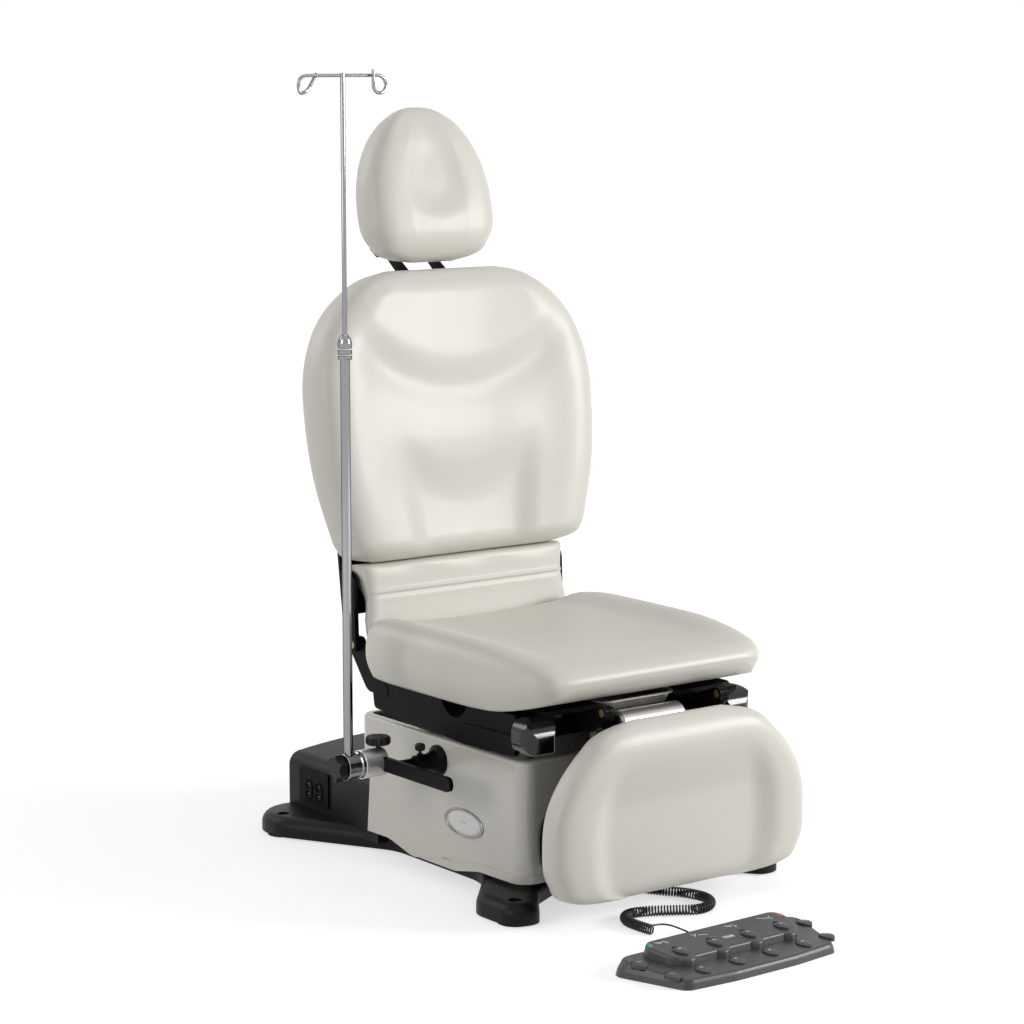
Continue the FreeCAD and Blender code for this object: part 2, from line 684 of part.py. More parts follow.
def seat_frame():
    """Welded frame under the plate: two rails, two cross members, hinge ears and the leg drive's end plates."""
    low = PLATE_TOP - PLATE_THICK
    rail = box((PLATE_X - RAIL_W, 15 - PLATE_FRONT, low - RAIL_H), (PLATE_X, PLATE_BACK - 15, low))
    body = rail.fuse(other_side(rail))
    for y in (CROSS_BACK_Y, CROSS_W / 2 - PLATE_FRONT):
        cross = box((-CROSS_X, y - CROSS_W / 2, low - CROSS_H), (CROSS_X, y + CROSS_W / 2, low - TRAY_DEEP))
        ends = box((PLATE_X - RAIL_W, y - CROSS_W / 2, low - CROSS_H), (CROSS_X, y + CROSS_W / 2, low))
        body = body.fuse(cross).fuse(ends).fuse(other_side(ends))
    plate = slab([(-DRIVE_Y - DRIVE_R + 8, DRIVE_Z + 14, 8), (-DRIVE_Y - DRIVE_R + 8, DRIVE_Z - 14, 8),
                  (2 - PLATE_FRONT, DRIVE_Z - 2, 0), (2 - PLATE_FRONT, DRIVE_Z + 20, 0)], side, DRIVE_HALF,
                 DRIVE_PLATE)
    body = body.fuse(plate).fuse(other_side(plate))
    ears = hinge_ears()
    body = body.fuse(ears).fuse(other_side(ears))
    wide = 2 * CROSS_X
    body = body.cut(across(-wide, wide, BACK_Y, BACK_Z, PIN_R))
    body = body.cut(across(-wide, wide, LEG_Y, LEG_Z, PIN_R))
    return body.removeSplitter()


def hinge_pins():
    """The tilt pin and the four pins of the back and leg hinges, fast in the seat frame."""
    tilt_end = TILT_LUG_X + 2 * LUG_THICK + AIR
    pins = [across(-tilt_end, tilt_end, TILT_Y, TILT_Z, TILT_PIN_R)]
    back_in = BACK_EAR_X - AIR - EAR_THICK
    leg_out = LEG_EAR_X + 2 * EAR_THICK + AIR
    for way in (-1, 1):
        pins.append(across(way * back_in, way * (BACK_EAR_X + EAR_THICK), BACK_Y, BACK_Z, PIN_R))
        pins.append(across(way * LEG_EAR_X, way * leg_out, LEG_Y, LEG_Z, PIN_R))
    return Part.makeCompound(pins)


def left_skirt():
    """Side plate of the seat frame: sloping lower edge, notch under the pad, thicker front block, disc boss."""
    wall = -SKIRT_X - SKIRT_THICK
    block_low = SKIRT_LOW_FRONT + 6
    plate = slab([(SKIRT_BACK, SKIRT_TOP, 10), (SKIRT_BACK - 12, SKIRT_LOW_BACK, 10),
                  (-SKIRT_STEP_Y, SKIRT_LOW_FRONT, 30), (-SKIRT_FRONT, block_low, 8), (-SKIRT_FRONT, SKIRT_TOP, 14)],
                 side, wall, SKIRT_THICK)
    notch = across(wall - 1, -SKIRT_X + 1, -SKIRT_NOTCH_Y, SKIRT_TOP + 8, SKIRT_NOTCH_R)
    plate = plate.cut(notch)
    block = slab([(-SKIRT_STEP_Y, SKIRT_LOW_FRONT + 1, 0), (-SKIRT_FRONT + 2, block_low + 1, 6),
                  (-SKIRT_FRONT + 2, SKIRT_BLOCK_TOP, 6), (-SKIRT_STEP_Y, SKIRT_BLOCK_TOP - 6, 3)], side,
                 wall - SKIRT_BLOCK_OUT, SKIRT_BLOCK_OUT)
    plate = plate.fuse(block)
    low = PLATE_TOP - PLATE_THICK
    disc_y = SKIRT_BACK - 46
    plate = plate.fuse(across(wall - 1.5, wall + 1, disc_y, SKIRT_TOP - 26, DISC_R))
    for y, inner in ((CROSS_BACK_Y, BACK_EAR_X - AIR), (35 - SKIRT_FRONT, PLATE_X)):
        spacer = box((-SKIRT_X - 1, y - CROSS_W / 3, low - CROSS_H + 5), (-inner, y + CROSS_W / 3, low - 4))
        plate = plate.fuse(spacer)
    return plate.removeSplitter()


def end_caps():
    """Moulded noses that close the front ends of the skirts, round in the side, top and front views."""
    back = -SKIRT_FRONT - SEAM
    cap = slab([(back, CAP_LOW, 10), (back, CAP_TOP, 10), (-CAP_FRONT, CAP_TOP, CAP_ROUND), (-CAP_FRONT, CAP_LOW, 14)],
               side, CAP_INNER, CAP_OUTER - CAP_INNER)
    above = slab([(CAP_INNER, back, 0), (CAP_INNER, -CAP_FRONT, CAP_EDGE / 2), (CAP_OUTER, -CAP_FRONT, CAP_EDGE),
                  (CAP_OUTER, back, 0)], flat, CAP_LOW, CAP_TOP - CAP_LOW)
    ahead = slab([(CAP_INNER, CAP_LOW, CAP_EDGE / 2), (CAP_INNER, CAP_TOP, CAP_EDGE / 2), (CAP_OUTER, CAP_TOP, CAP_EDGE),
                  (CAP_OUTER, CAP_LOW, CAP_EDGE)], front, -CAP_FRONT, CAP_FRONT + back)
    cap = cap.common(above).common(ahead)
    room = slab([(-PLATE_FRONT - SEAM, CAP_LOW - 1, 0), (0, CAP_LOW - 1, 0), (0, CAP_TOP + 9, 0),
                 (-PLATE_FRONT - SEAM, CAP_TOP + 9, 0)], side, 0, CROSS_X + SEAM)
    return both_sides(cap.cut(room))


def debris_tray():
    """Shallow pan with tapered walls that hangs by its rim in the plate's opening."""
    rim_z = PLATE_TOP
    outer = TRAY_X - TRAY_RIM
    ends = [(outer, -TRAY_BACK - TRAY_RIM), (outer, -TRAY_FRONT + TRAY_RIM)]
    walls = []
    for inset, z in ((0, rim_z), (6, rim_z - TRAY_DEEP)):
        signs = ((-1, 1), (-1, -1))
        plan = [(x + dx * inset, y + dy * -inset, TRAY_CORNER) for (x, y), (dx, dy) in zip(ends, signs)]
        wire = rounded_wire(mirrored(plan), flat)
        wire.translate(Z_AXIS * z)
        walls.append(wire)
    pan = Part.makeLoft(walls, True, True)
    hollow = pan.copy()
    scale_x = (outer - TRAY_WALL) / outer
    long = TRAY_FRONT - TRAY_BACK - 2 * TRAY_RIM
    scale_y = (long - 2 * TRAY_WALL) / long
    middle = -(TRAY_FRONT + TRAY_BACK) / 2
    matrix = FreeCAD.Matrix()
    matrix.move(Vector(0, -middle, 0))
    matrix.scale(Vector(scale_x, scale_y, 1))
    matrix.move(Vector(0, middle, TRAY_WALL))
    hollow = hollow.transformGeometry(matrix)
    rim = slab(mirrored([(TRAY_X, -TRAY_BACK, TRAY_CORNER + TRAY_RIM), (TRAY_X, -TRAY_FRONT, TRAY_CORNER + TRAY_RIM)]),
               flat, rim_z, 2 * TRAY_WALL)
    mouth = slab(mirrored([(outer - TRAY_WALL, ends[0][1] - TRAY_WALL, TRAY_CORNER - TRAY_WALL),
                           (outer - TRAY_WALL, ends[1][1] + TRAY_WALL, TRAY_CORNER - TRAY_WALL)]), flat, rim_z - 1,
                 2 * TRAY_WALL + 2)
    return pan.cut(hollow).fuse(rim.cut(mouth)).removeSplitter()


def leg_drive():
    """Tubular gear motor of the leg rest, held between the frame's end plates."""
    return turned([(0, 0), (DRIVE_R - 5, 0), (DRIVE_R, 5), (DRIVE_R, 2 * DRIVE_HALF - 5),
                   (DRIVE_R - 5, 2 * DRIVE_HALF), (0, 2 * DRIVE_HALF)],
                  Vector(-DRIVE_HALF, -DRIVE_Y, DRIVE_Z), X_AXIS)


def seat_pad():
    """Crowned seat pad with an arched front; each section is (y, half width in, bottom up, thickness, dish)."""
    span = [(SEAT_BACK, 70, 26, 54, -3), (SEAT_BACK - 12, 36, 8, 86, 3), (SEAT_BACK - 45, 8, 0, 104, 12),
            (SEAT_BACK - 150, 0, 0, SEAT_THICK, SEAT_DISH), (SEAT_BACK - 290, 0, 0, SEAT_THICK, SEAT_DISH),
            (SEAT_BACK - 430, 4, 2, 105, 16), (SEAT_BACK - 535, 18, 18, 76, 6), (20 - SEAT_FRONT, 42, 34, 50, 2),
            (-SEAT_FRONT, 84, 46, 20, -1)]
    sections = []
    for y, inset, lift, thick, dish in span:
        place = section_at(y, SEAT_BOTTOM + lift)
        half = SEAT_HALF - inset
        droop = SEAT_DROOP * (1 - inset / 120)
        sections.append(pad_section(half, thick, dish, place, droop, min(SEAT_FLAT / half, 0.85)))
    return pad_loft(sections)


def section_at(y, z):
    """Mapping of a pad section to a plane across the seat at y, standing on z."""
    return lambda u, v: Vector(u, y, z + v)


# Back

def leaned(shape):
    """Back pieces are drawn upright and leaned about the back hinge."""
    turned_back = shape.copy()
    turned_back.rotate(Vector(0, BACK_Y, BACK_Z), X_AXIS, -BACK_LEAN)
    return turned_back


def back_outline(inset):
    """Outline of the back seen from the front, for its shell."""
    half = BACK_HALF - inset
    low = BACK_LOW + inset
    high = BACK_HIGH - inset
    return mirrored([(half - 150, high, 130), (half - 4, high - 110, 150), (half, low + 180, 200),
                     (half - 58, low, 60)])


def back_pad():
    """Back pad with side bolsters, lumbar dish and rounded top; (z up, half width in, thickness, dish)."""
    tall = BACK_HIGH - BACK_LOW
    span = [(0, 98, 54, -2), (16, 72, 86, 3), (70, 44, 110, 14), (190, 14, BACK_THICK, BACK_DISH),
            (330, 5, BACK_THICK, BACK_DISH), (430, 19, 106, 20), (510, 61, 98, 16), (tall - 36, 123, 88, 10),
            (tall - 10, 163, 68, 2), (tall, 202, 42, -2)]
    rear = BACK_Y + BACK_REAR
    sections = []
    for up, inset, thick, dish in span:
        sunk = (BACK_THICK - thick) / 4
        sections.append(pad_section(BACK_HALF - inset, thick, dish, standing_at(rear - sunk, BACK_LOW + up)))
    return leaned(pad_loft(sections))


def standing_at(y, z):
    """Mapping of a pad section to a level plane at z, its back at y and its face to the front."""
    return lambda u, v: Vector(u, y - v, z)


def back_shell():
    """Moulded shell behind the pad, with sleeves for the two prongs of the headrest."""
    y = BACK_Y + BACK_REAR + PAD_GAP
    shell = slab(back_outline(BACK_SHELL_IN), front, y, BACK_SHELL)
    rims = edges_at(shell, lambda p: near(p.y, y + BACK_SHELL))
    shell = shell.makeFillet(BACK_SHELL / 2, rims)
    for x in (-HEAD_BAR_X, HEAD_BAR_X):
        w = HEAD_BAR_W / 2 + SLIDE
        t = HEAD_BAR_T + 2 * SLIDE
        start = y + BACK_SHELL
        sleeve = box((x - w - SOCKET_WALL, start - 2, SLEEVE_LOW),
                     (x + w + SOCKET_WALL, start + t + SOCKET_WALL, SLEEVE_HIGH))
        channel = box((x - w, start, HEAD_BAR_LOW - 10), (x + w, start + t, BACK_HIGH))
        shell = shell.fuse(sleeve).cut(channel)
    return leaned(shell.removeSplitter())


def back_frame():
    """Steel plate that carries the shell, with a side flange and a hinge ear at each edge."""
    y = BACK_Y + BACK_REAR + PAD_GAP + BACK_SHELL + SEAM
    sleeve_room = HEAD_BAR_X + HEAD_BAR_W + 2 * SOCKET_WALL
    low = BACK_Z + 2 * BACK_DRIVE_R
    plate = slab(mirrored([(sleeve_room + 60, BACK_FRAME_TOP, 40), (BACK_EAR_X + EAR_THICK, BACK_LOW + 120, 60),
                           (BACK_EAR_X + EAR_THICK, low, 10)]), front, y, BACK_FRAME)
    ear = slab([(BACK_Y - 15, BACK_Z + 15, 12), (BACK_Y - 15, BACK_Z - 15, 12), (BACK_Y + 17, BACK_Z - 15, 12),
                (y + BACK_FRAME, low - 30, 30), (y + BACK_FRAME, BACK_LOW + 40, 0), (y + 1, BACK_LOW + 40, 0),
                (y + 1, BACK_LOW - 12, 0), (BACK_Y - 28, BACK_LOW - 12, 24)], side, BACK_EAR_X, EAR_THICK)
    body = plate.fuse(ear).fuse(other_side(ear))
    reach = 2 * BACK_EAR_X
    return leaned(body.cut(across(-reach, reach, BACK_Y, BACK_Z, PIN_R + RUN)).removeSplitter())


def back_flap():
    """Padded flap under the back pad and the strip that hangs from it behind the seat's rear edge."""
    rear = FLAP_Y + FLAP_THICK
    web = BACK_Y + BACK_REAR + PAD_GAP + BACK_SHELL
    flap = slab([(FLAP_Y, BACK_LOW - SEAM, 4), (FLAP_Y, FLAP_FOLD, 3), (FLAP_Y - FLAP_TOE, FLAP_LOW, 3),
                 (rear - FLAP_TOE, FLAP_LOW, 3), (rear, FLAP_FOLD, 6), (web, FLAP_FOLD + 30, 8),
                 (web, BACK_LOW - SEAM, 4)], side, -FLAP_HALF + EAR_THICK, 2 * (FLAP_HALF - EAR_THICK))
    return leaned(flap)


def back_drive():
    """Tubular gear motor on the back hinge's axis, hung from the seat frame by a saddle."""
    motor = turned([(0, 0), (BACK_DRIVE_R - 4, 0), (BACK_DRIVE_R, 4), (BACK_DRIVE_R, 2 * BACK_DRIVE_HALF - 4),
                    (BACK_DRIVE_R - 4, 2 * BACK_DRIVE_HALF), (0, 2 * BACK_DRIVE_HALF)],
                   Vector(-BACK_DRIVE_HALF, BACK_Y, BACK_Z), X_AXIS)
    low = PLATE_TOP - PLATE_THICK
    saddle = slab([(PLATE_BACK, low, 0), (PLATE_BACK, PLATE_TOP, 0), (BACK_Y - 20, BACK_Z, 6), (BACK_Y + 12, BACK_Z, 6),
                   (BACK_Y + 12, BACK_Z - BACK_DRIVE_R, 10), (BACK_Y - 10, low, 20)], side,
                  -BACK_DRIVE_HALF + 20, 2 * BACK_DRIVE_HALF - 40)
    return motor.fuse(saddle).removeSplitter()


# Headrest

def head_bar_y():
    """Front face of the prongs, upright: the floor of the sleeves in the back shell, with its play."""
    return BACK_Y + BACK_REAR + PAD_GAP + BACK_SHELL + SLIDE


def headrest_bar():
    """Two prongs that slide in the back shell, bent backwards to a cross barrel with a trunnion at each end."""
    y = head_bar_y()
    t = HEAD_BAR_T
    knee = BACK_HIGH - 6
    prong = slab([(y, HEAD_BAR_LOW, 2), (y, knee + 4, 6), (HEAD_PIVOT_Y, HEAD_PIVOT_Z + 5, 0),
                  (HEAD_PIVOT_Y, HEAD_PIVOT_Z - 5, 0), (y + t, knee - 8, 8), (y + t, HEAD_BAR_LOW, 2)], side,
                 HEAD_BAR_X - HEAD_BAR_W / 2, HEAD_BAR_W)
    end = HEAD_BAR_X + HEAD_BAR_W / 2
    barrel = across(-end, end, HEAD_PIVOT_Y, HEAD_PIVOT_Z, HEAD_BARREL_R)
    pin_end = end + AIR + EAR_THICK
    pin = across(-pin_end, pin_end, HEAD_PIVOT_Y, HEAD_PIVOT_Z, HEAD_PIN_R)
    return leaned(prong.fuse(other_side(prong)).fuse(barrel).fuse(pin).removeSplitter())


def head_tilted(shape):
    """The headrest is drawn upright, tilted about its pivot and leaned with the back."""
    tipped = shape.copy()
    tipped.rotate(Vector(0, HEAD_PIVOT_Y, HEAD_PIVOT_Z), X_AXIS, BACK_LEAN - HEAD_TILT)
    return leaned(tipped)


def headrest_pad():
    """Egg-shaped pad, wider low, with a dished face; (height up, half width in, thickness, dish)."""
    tall = HEAD_TALL
    span = [(0, 96, 36, -2), (10, 58, 62, -1), (44, 16, 88, 8), (100, 0, HEAD_THICK, HEAD_DISH),
            (170, 5, 94, HEAD_DISH), (235, 29, 86, 9), (288, 63, 70, 2), (tall - 10, 97, 48, -2),
            (tall, 124, 24, -2)]
    rear = HEAD_Y + HEAD_THICK
    sections = []
    for up, inset, thick, dish in span:
        sunk = (HEAD_THICK - thick) / 3
        sections.append(pad_section(HEAD_HALF - inset, thick, dish, standing_at(rear - sunk, HEAD_LOW + up)))
    return head_tilted(pad_loft(sections))


def headrest_shell():
    """Moulded plate behind the headrest pad with two ears on the bar's trunnions."""
    y = HEAD_Y + HEAD_THICK + PAD_GAP
    half = HEAD_HALF
    plate = slab(mirrored([(half - 104, HEAD_LOW + HEAD_TALL - 44, 46), (half - 16, HEAD_LOW + 130, 120),
                           (half - 34, HEAD_LOW + 30, 50)]), front, y, HEAD_SHELL)
    ear_x = HEAD_BAR_X + HEAD_BAR_W / 2 + AIR
    low = HEAD_PIVOT_Z - HEAD_BARREL_R
    high = HEAD_PIVOT_Z + HEAD_BARREL_R
    ear = slab([(HEAD_PIVOT_Y - HEAD_BARREL_R, low, 9), (HEAD_PIVOT_Y + HEAD_BARREL_R, low, 9),
                (HEAD_PIVOT_Y + HEAD_BARREL_R + 22, high, 0), (y + HEAD_SHELL, high + 60, 0), (y + 1, high + 60, 0),
                (y + 1, high + 8, 0), (HEAD_PIVOT_Y - HEAD_BARREL_R, high, 9)], side, ear_x, EAR_THICK)
    room = slab([(y, 0, 0), (-y, 0, 0), (-y, 2 * HEAD_LOW, 0), (y, 2 * HEAD_LOW, 0)], side, -half, 2 * half)
    ear = ear.cut(room) if HEAD_PIVOT_Y - HEAD_BARREL_R > y else ear
    body = plate.fuse(ear).fuse(other_side(ear))
    body = body.cut(across(-half, half, HEAD_PIVOT_Y, HEAD_PIVOT_Z, HEAD_PIN_R + RUN))
    return head_tilted(body.removeSplitter())


# Leg rest

def leg_outline(inset):
    """Outline of the leg rest seen from the front."""
    half = LEG_HALF - inset
    return mirrored([(half - 160, LEG_HIGH - inset, 70), (half, LEG_LOW + 170, 90), (half - 4, LEG_LOW + 90, 60),
                     (half - 70, LEG_LOW + inset, 70)])


def leg_pad():
    """Leg pad with side bolsters and a flat centre; (height up, half width in, thickness, dish)."""
    tall = LEG_HIGH - LEG_LOW
    span = [(0, 100, 28, -2), (10, 60, 48, -1), (48, 14, 64, 8), (112, 0, LEG_THICK, LEG_DISH),
            (180, 6, LEG_THICK, LEG_DISH), (240, 34, 62, 9), (296, 82, 52, 4), (tall - 16, 126, 42, -1),
            (tall, 176, 24, -2)]
    rear = LEG_Y - LEG_BARREL_R + 2
    sections = []
    for up, inset, thick, dish in span:
        sunk = (LEG_THICK - thick) / 6
        sections.append(pad_section(LEG_HALF - inset, thick, dish, standing_at(rear - sunk, LEG_LOW + up)))
    return pad_loft(sections)


def leg_shell():
    """Moulded shell behind the leg pad, cut back round the hinge ears."""
    y = LEG_Y - LEG_BARREL_R + 2 + PAD_GAP
    shell = slab(leg_outline(LEG_SHELL_IN), front, y, LEG_SHELL)
    shell = shell.makeFillet(LEG_SHELL / 2, edges_at(shell, lambda p: near(p.y, y + LEG_SHELL)))
    room = box((-LEG_HALF, y - 1, LEG_Z - 2.4 * LEG_BARREL_R), (LEG_HALF, y + 2 * LEG_SHELL, LEG_Z + 60))
    return shell.cut(room)


def leg_frame():
    """Plate behind the leg shell with two ears on the leg hinge's pins."""
    y = LEG_Y - LEG_BARREL_R + 2 + PAD_GAP + LEG_SHELL + SEAM
    top = LEG_Z - 2.4 * LEG_BARREL_R
    plate = slab(mirrored([(LEG_EAR_X + EAR_THICK, top + 2, 6), (LEG_EAR_X + EAR_THICK, LEG_LOW + 60, 40)]), front, y,
                 LEG_FRAME)
    r = LEG_BARREL_R
    ear = slab([(LEG_Y - r, LEG_Z + r, 11), (LEG_Y + r, LEG_Z + r, 11), (LEG_Y + r, LEG_Z - r, 4),
                (y + LEG_FRAME, top - 40, 0), (y, top - 40, 0), (y, top + 1, 0), (LEG_Y - r, LEG_Z - r, 4)], side,
               LEG_EAR_X, EAR_THICK)
    body = plate.fuse(ear).fuse(other_side(ear))
    return body.cut(across(-LEG_HALF, LEG_HALF, LEG_Y, LEG_Z, PIN_R + RUN)).removeSplitter()


# Accessory arm, clamp and pole

def arm_socket():
    """Socket tube with a trumpet mouth on the cover and a tapped boss for the thumb screw."""
    out = SOCKET_OUT
    trumpet = turned([(SOCKET_R - 1, ARM_IN), (SOCKET_R, COVER_X), (FLARE_R, COVER_X + SEAM),
                      (FLARE_R, COVER_X + 4), (SOCKET_R + 5, COVER_X + FLARE_L / 2), (SOCKET_R, COVER_X + FLARE_L),
                      (SOCKET_R, out - 3), (SOCKET_R - 2, out), (0, out), (0, ARM_IN)],
                     Vector(0, ARM_Y, ARM_Z), Vector(-1, 0, 0))
    boss = upright(-SCREW_X, ARM_Y, ARM_Z, ARM_Z + SOCKET_R + 3, 2 * SCREW_R)
    body = trumpet.fuse(boss)
    body = body.cut(across(-out - 1, -ARM_IN + 1, ARM_Y, ARM_Z, ARM_R + RUN))
    return body.cut(upright(-SCREW_X, ARM_Y, ARM_Z, SCREW_HEAD_Z, SCREW_R + RUN)).removeSplitter()


def arm_thumb_screw():
    """Thumb screw with a small fluted head."""
    head = fluted(SCREW_HEAD_R, SCREW_HEAD_H, 6, 2.2)
    head.translate(Vector(-SCREW_X, ARM_Y, SCREW_HEAD_Z))
    stem = upright(-SCREW_X, ARM_Y, ARM_Z + ARM_R + SLIDE, SCREW_HEAD_Z + 1, SCREW_R)
    return head.fuse(stem).removeSplitter()


def fluted(radius, height, lobes, groove):
    """Knob about Z from zero upwards: a disc with a chamfered top and a scallop between neighbouring lobes."""
    edge = min(0.25 * height, 3.0)
    disc = turned([(0, 0), (radius - edge, 0), (radius, edge), (radius, height - edge), (radius - edge, height),
                   (0, height)], Vector(0, 0, 0), Z_AXIS)
    for index in range(lobes):
        angle = 2 * math.pi * (index + 0.5) / lobes
        reach = radius + 0.25 * groove
        disc = disc.cut(upright(reach * math.cos(angle), reach * math.sin(angle), -1, height + 1, groove))
    return disc


def accessory_arm():
    """Round arm that ends in a flat accessory rail with a rounded front end."""
    rod = across(-RAIL_X - 1, -ARM_IN, ARM_Y, ARM_Z, ARM_R)
    half = RAIL_HIGH / 2
    rail = slab([(ARM_Y + RAIL_BACK, ARM_Z - half, 2), (ARM_Y + RAIL_BACK, ARM_Z + half, 2),
                 (ARM_Y - RAIL_FRONT, ARM_Z + half, half - 2), (ARM_Y - RAIL_FRONT, ARM_Z - half, half - 2)], side,
                -RAIL_X - RAIL_THICK, RAIL_THICK)
    return rod.fuse(rail).removeSplitter()


def clamp_body():
    """Round clamp slotted over the rail, bored from above for the clamping knob and from its end for the star knob."""
    body = turned([(0, CLAMP_IN), (CLAMP_R, CLAMP_IN), (CLAMP_R, CLAMP_OUT - 1), (CLAMP_R - 1, CLAMP_OUT),
                   (0, CLAMP_OUT)], Vector(0, CLAMP_Y, ARM_Z), Vector(-1, 0, 0))
    half = RAIL_HIGH / 2 + SLIDE
    slot = box((-RAIL_X - RAIL_THICK - SLIDE, CLAMP_Y - 2 * CLAMP_R, ARM_Z - half),
               (-CLAMP_IN + 1, CLAMP_Y + 2 * CLAMP_R, ARM_Z + half))
    body = body.cut(slot)
    body = body.cut(upright(-KNOB_X, CLAMP_Y, ARM_Z, KNOB_Z, KNOB_STEM_R + RUN))
    return body.cut(across(-CLAMP_OUT - 1, -CLAMP_OUT + STAR_STEM_R, CLAMP_Y, ARM_Z, STAR_STEM_R + RUN))


def clamp_knob():
    """Scalloped hand knob on the clamp's screw."""
    head = fluted(KNOB_R, KNOB_H, KNOB_LOBES, KNOB_SCALLOP)
    head.translate(Vector(-KNOB_X, CLAMP_Y, KNOB_Z))
    stem = upright(-KNOB_X, CLAMP_Y, ARM_Z + RAIL_HIGH / 2 + SLIDE, KNOB_Z + 1, KNOB_STEM_R)
    return head.fuse(stem).removeSplitter()


def clamp_collar():
    """Grooved collar that turns on the clamp's end and holds the pole upright in a blind bore."""
    start = CLAMP_OUT + SLIDE
    out = COLLAR_OUT
    neck = COLLAR_R - 2.5
    body = turned([(0, start), (COLLAR_R, start), (COLLAR_R, start + 6), (neck, start + 8), (neck, out - 8),
                   (COLLAR_R, out - 6), (COLLAR_R, out - 1), (COLLAR_R - 1, out), (0, out)],
                  Vector(0, CLAMP_Y, ARM_Z), Vector(-1, 0, 0))
    spigot = across(-start - 1, -CLAMP_OUT + STAR_STEM_R - SLIDE, CLAMP_Y, ARM_Z, STAR_STEM_R)
    body = body.fuse(spigot)
    body = body.cut(upright(-POLE_X, CLAMP_Y, POLE_SEAT - SLIDE, ARM_Z + 2 * COLLAR_R, POLE_R + RUN))
    return body.cut(across(-out - 1, -out + STAR_BITE, CLAMP_Y, ARM_Z, STAR_STEM_R + RUN)).removeSplitter()


def star_knob():
    """Lobed knob on the collar's end."""
    head = fluted(STAR_R, STAR_H, STAR_LOBES, 0.42 * STAR_R)
    head.Placement = FreeCAD.Placement(Vector(-COLLAR_OUT - AIR, CLAMP_Y, ARM_Z),
                                       FreeCAD.Rotation(Z_AXIS, Vector(-1, 0, 0)))
    stem = across(-COLLAR_OUT - AIR - 1, -COLLAR_OUT + STAR_BITE - SLIDE, CLAMP_Y, ARM_Z, STAR_STEM_R)
    return head.fuse(stem).removeSplitter()


def pole_lower():
    """Lower tube of the pole, closed by a plug at its foot."""
    tube = upright(-POLE_X, CLAMP_Y, POLE_SEAT, POLE_TOP, POLE_R)
    return tube.cut(upright(-POLE_X, CLAMP_Y, POLE_SEAT + 2 * POLE_R, POLE_TOP + 1, POLE_R - POLE_WALL))


def pole_lock_collar():
    """Twist lock on the tube's top: domed head over two grooves, bored for the tube and for the rod."""
    r = LOCK_R
    low = LOCK_LOW
    high = LOCK_HIGH
    body = turned([(0, low), (r - 1, low), (r, low + 2), (r, low + 7), (r - 1.5, low + 8), (r - 1.5, low + 10),
                   (r, low + 11), (r, low + 18), (r - 1.5, low + 19), (r - 1.5, low + 22), (r, low + 23),
                   (r, high - 16), (r - 2, high - 8), (r - 6, high - 2), (r - 8, high), (0, high)],
                  Vector(-POLE_X, CLAMP_Y, 0), Z_AXIS)
    body = body.cut(upright(-POLE_X, CLAMP_Y, low - 1, POLE_TOP + SLIDE, POLE_R + RUN))
    return body.cut(upright(-POLE_X, CLAMP_Y, low, high + 1, ROD_R + RUN))


def hook_path(way, turns):
    """Bar from the pole's top to one side and the hook at its end; turns are (outwards, aside, up, direction)."""
    here = Vector(-POLE_X + way * (ROD_R - 1), CLAMP_Y, ROD_TOP)
    bend = Vector(-POLE_X + way * HOOK_REACH, CLAMP_Y, ROD_TOP)
    edges = [Part.makeLine(here, bend)]
    here, heading = bend, X_AXIS * way
    for out, aside, up, onward in turns:
        there = bend + Vector(way * out, aside, up)
        ahead = Vector(way * onward[0], onward[1], onward[2]).normalize()
        edges += biarc(here, heading, there, ahead)
        here, heading = there, ahead
    return Part.Wire(edges)


def left_hook():
    """Drop-shaped hook that returns slanting up behind the bar."""
    r = HOOK_LOOP_R
    return [(r, 0.2 * HOOK_ASIDE, -0.8 * r, (0, 0.2, -1)), (0.45 * r, 0.5 * HOOK_ASIDE, -1.95 * r, (-1, 0.3, 0.1)),
            (-1.7 * r, HOOK_ASIDE, 0.2 * r, (-0.75, 0.05, 1))]


def right_hook():
    """Round hook whose tip stands up in front of the bar."""
    r = HOOK_LOOP_R
    return [(r, -0.2 * HOOK_ASIDE, -r, (0, -0.2, -1)), (0, -0.6 * HOOK_ASIDE, -2 * r, (-1, -0.2, 0)),
            (-r, -HOOK_ASIDE, -r, (0, -0.1, 1)), (-r, -HOOK_ASIDE, HOOK_TIP, (0, 0, 1))]


def swept(path, radius):
    """Round bar along a path of lines and arcs."""
    start = path.OrderedVertexes[0].Point
    first = path.OrderedEdges[0]
    tangent = first.tangentAt(first.FirstParameter)
    ring = Part.Wire(Part.Circle(start, tangent, radius).toShape())
    return path.makePipeShell([ring], True, False)


def pole_upper():
    """Upper rod with a guide bush at its foot and two hook loops at its top."""
    rod = upright(-POLE_X, CLAMP_Y, ROD_LOW, ROD_TOP + 1.6 * HOOK_R, ROD_R)
    bush = upright(-POLE_X, CLAMP_Y, ROD_LOW, ROD_LOW + BUSH_H, POLE_R - POLE_WALL - SLIDE)
    body = rod.fuse(bush)
    for path in (hook_path(-1, left_hook()), hook_path(1, right_hook())):
        body = body.fuse(swept(path, HOOK_R))
    return body.removeSplitter()


# Foot control

def pedal_place(shape):
    """The foot control is drawn about its front edge's middle, then turned and set on the floor."""
    put = shape.copy()
    floor_place = FreeCAD.Placement(Vector(PEDAL_X, PEDAL_Y, 0), FreeCAD.Rotation(Z_AXIS, PEDAL_TURN))
    put.Placement = floor_place.multiply(put.Placement)
    return put


def deck(lip, rise, start, end):
    """Space under a deck that climbs from lip at start to lip plus rise at end, seen from the side."""
    slope = rise / (end - start)
    far = 4 * PEDAL_DEEP
    low = lip - slope * (start + far)
    high = lip + slope * (far - start)
    return slab([(-far, low, 0), (far, high, 0), (far, -far, 0), (-far, -far, 0)], side, -far, 2 * far)


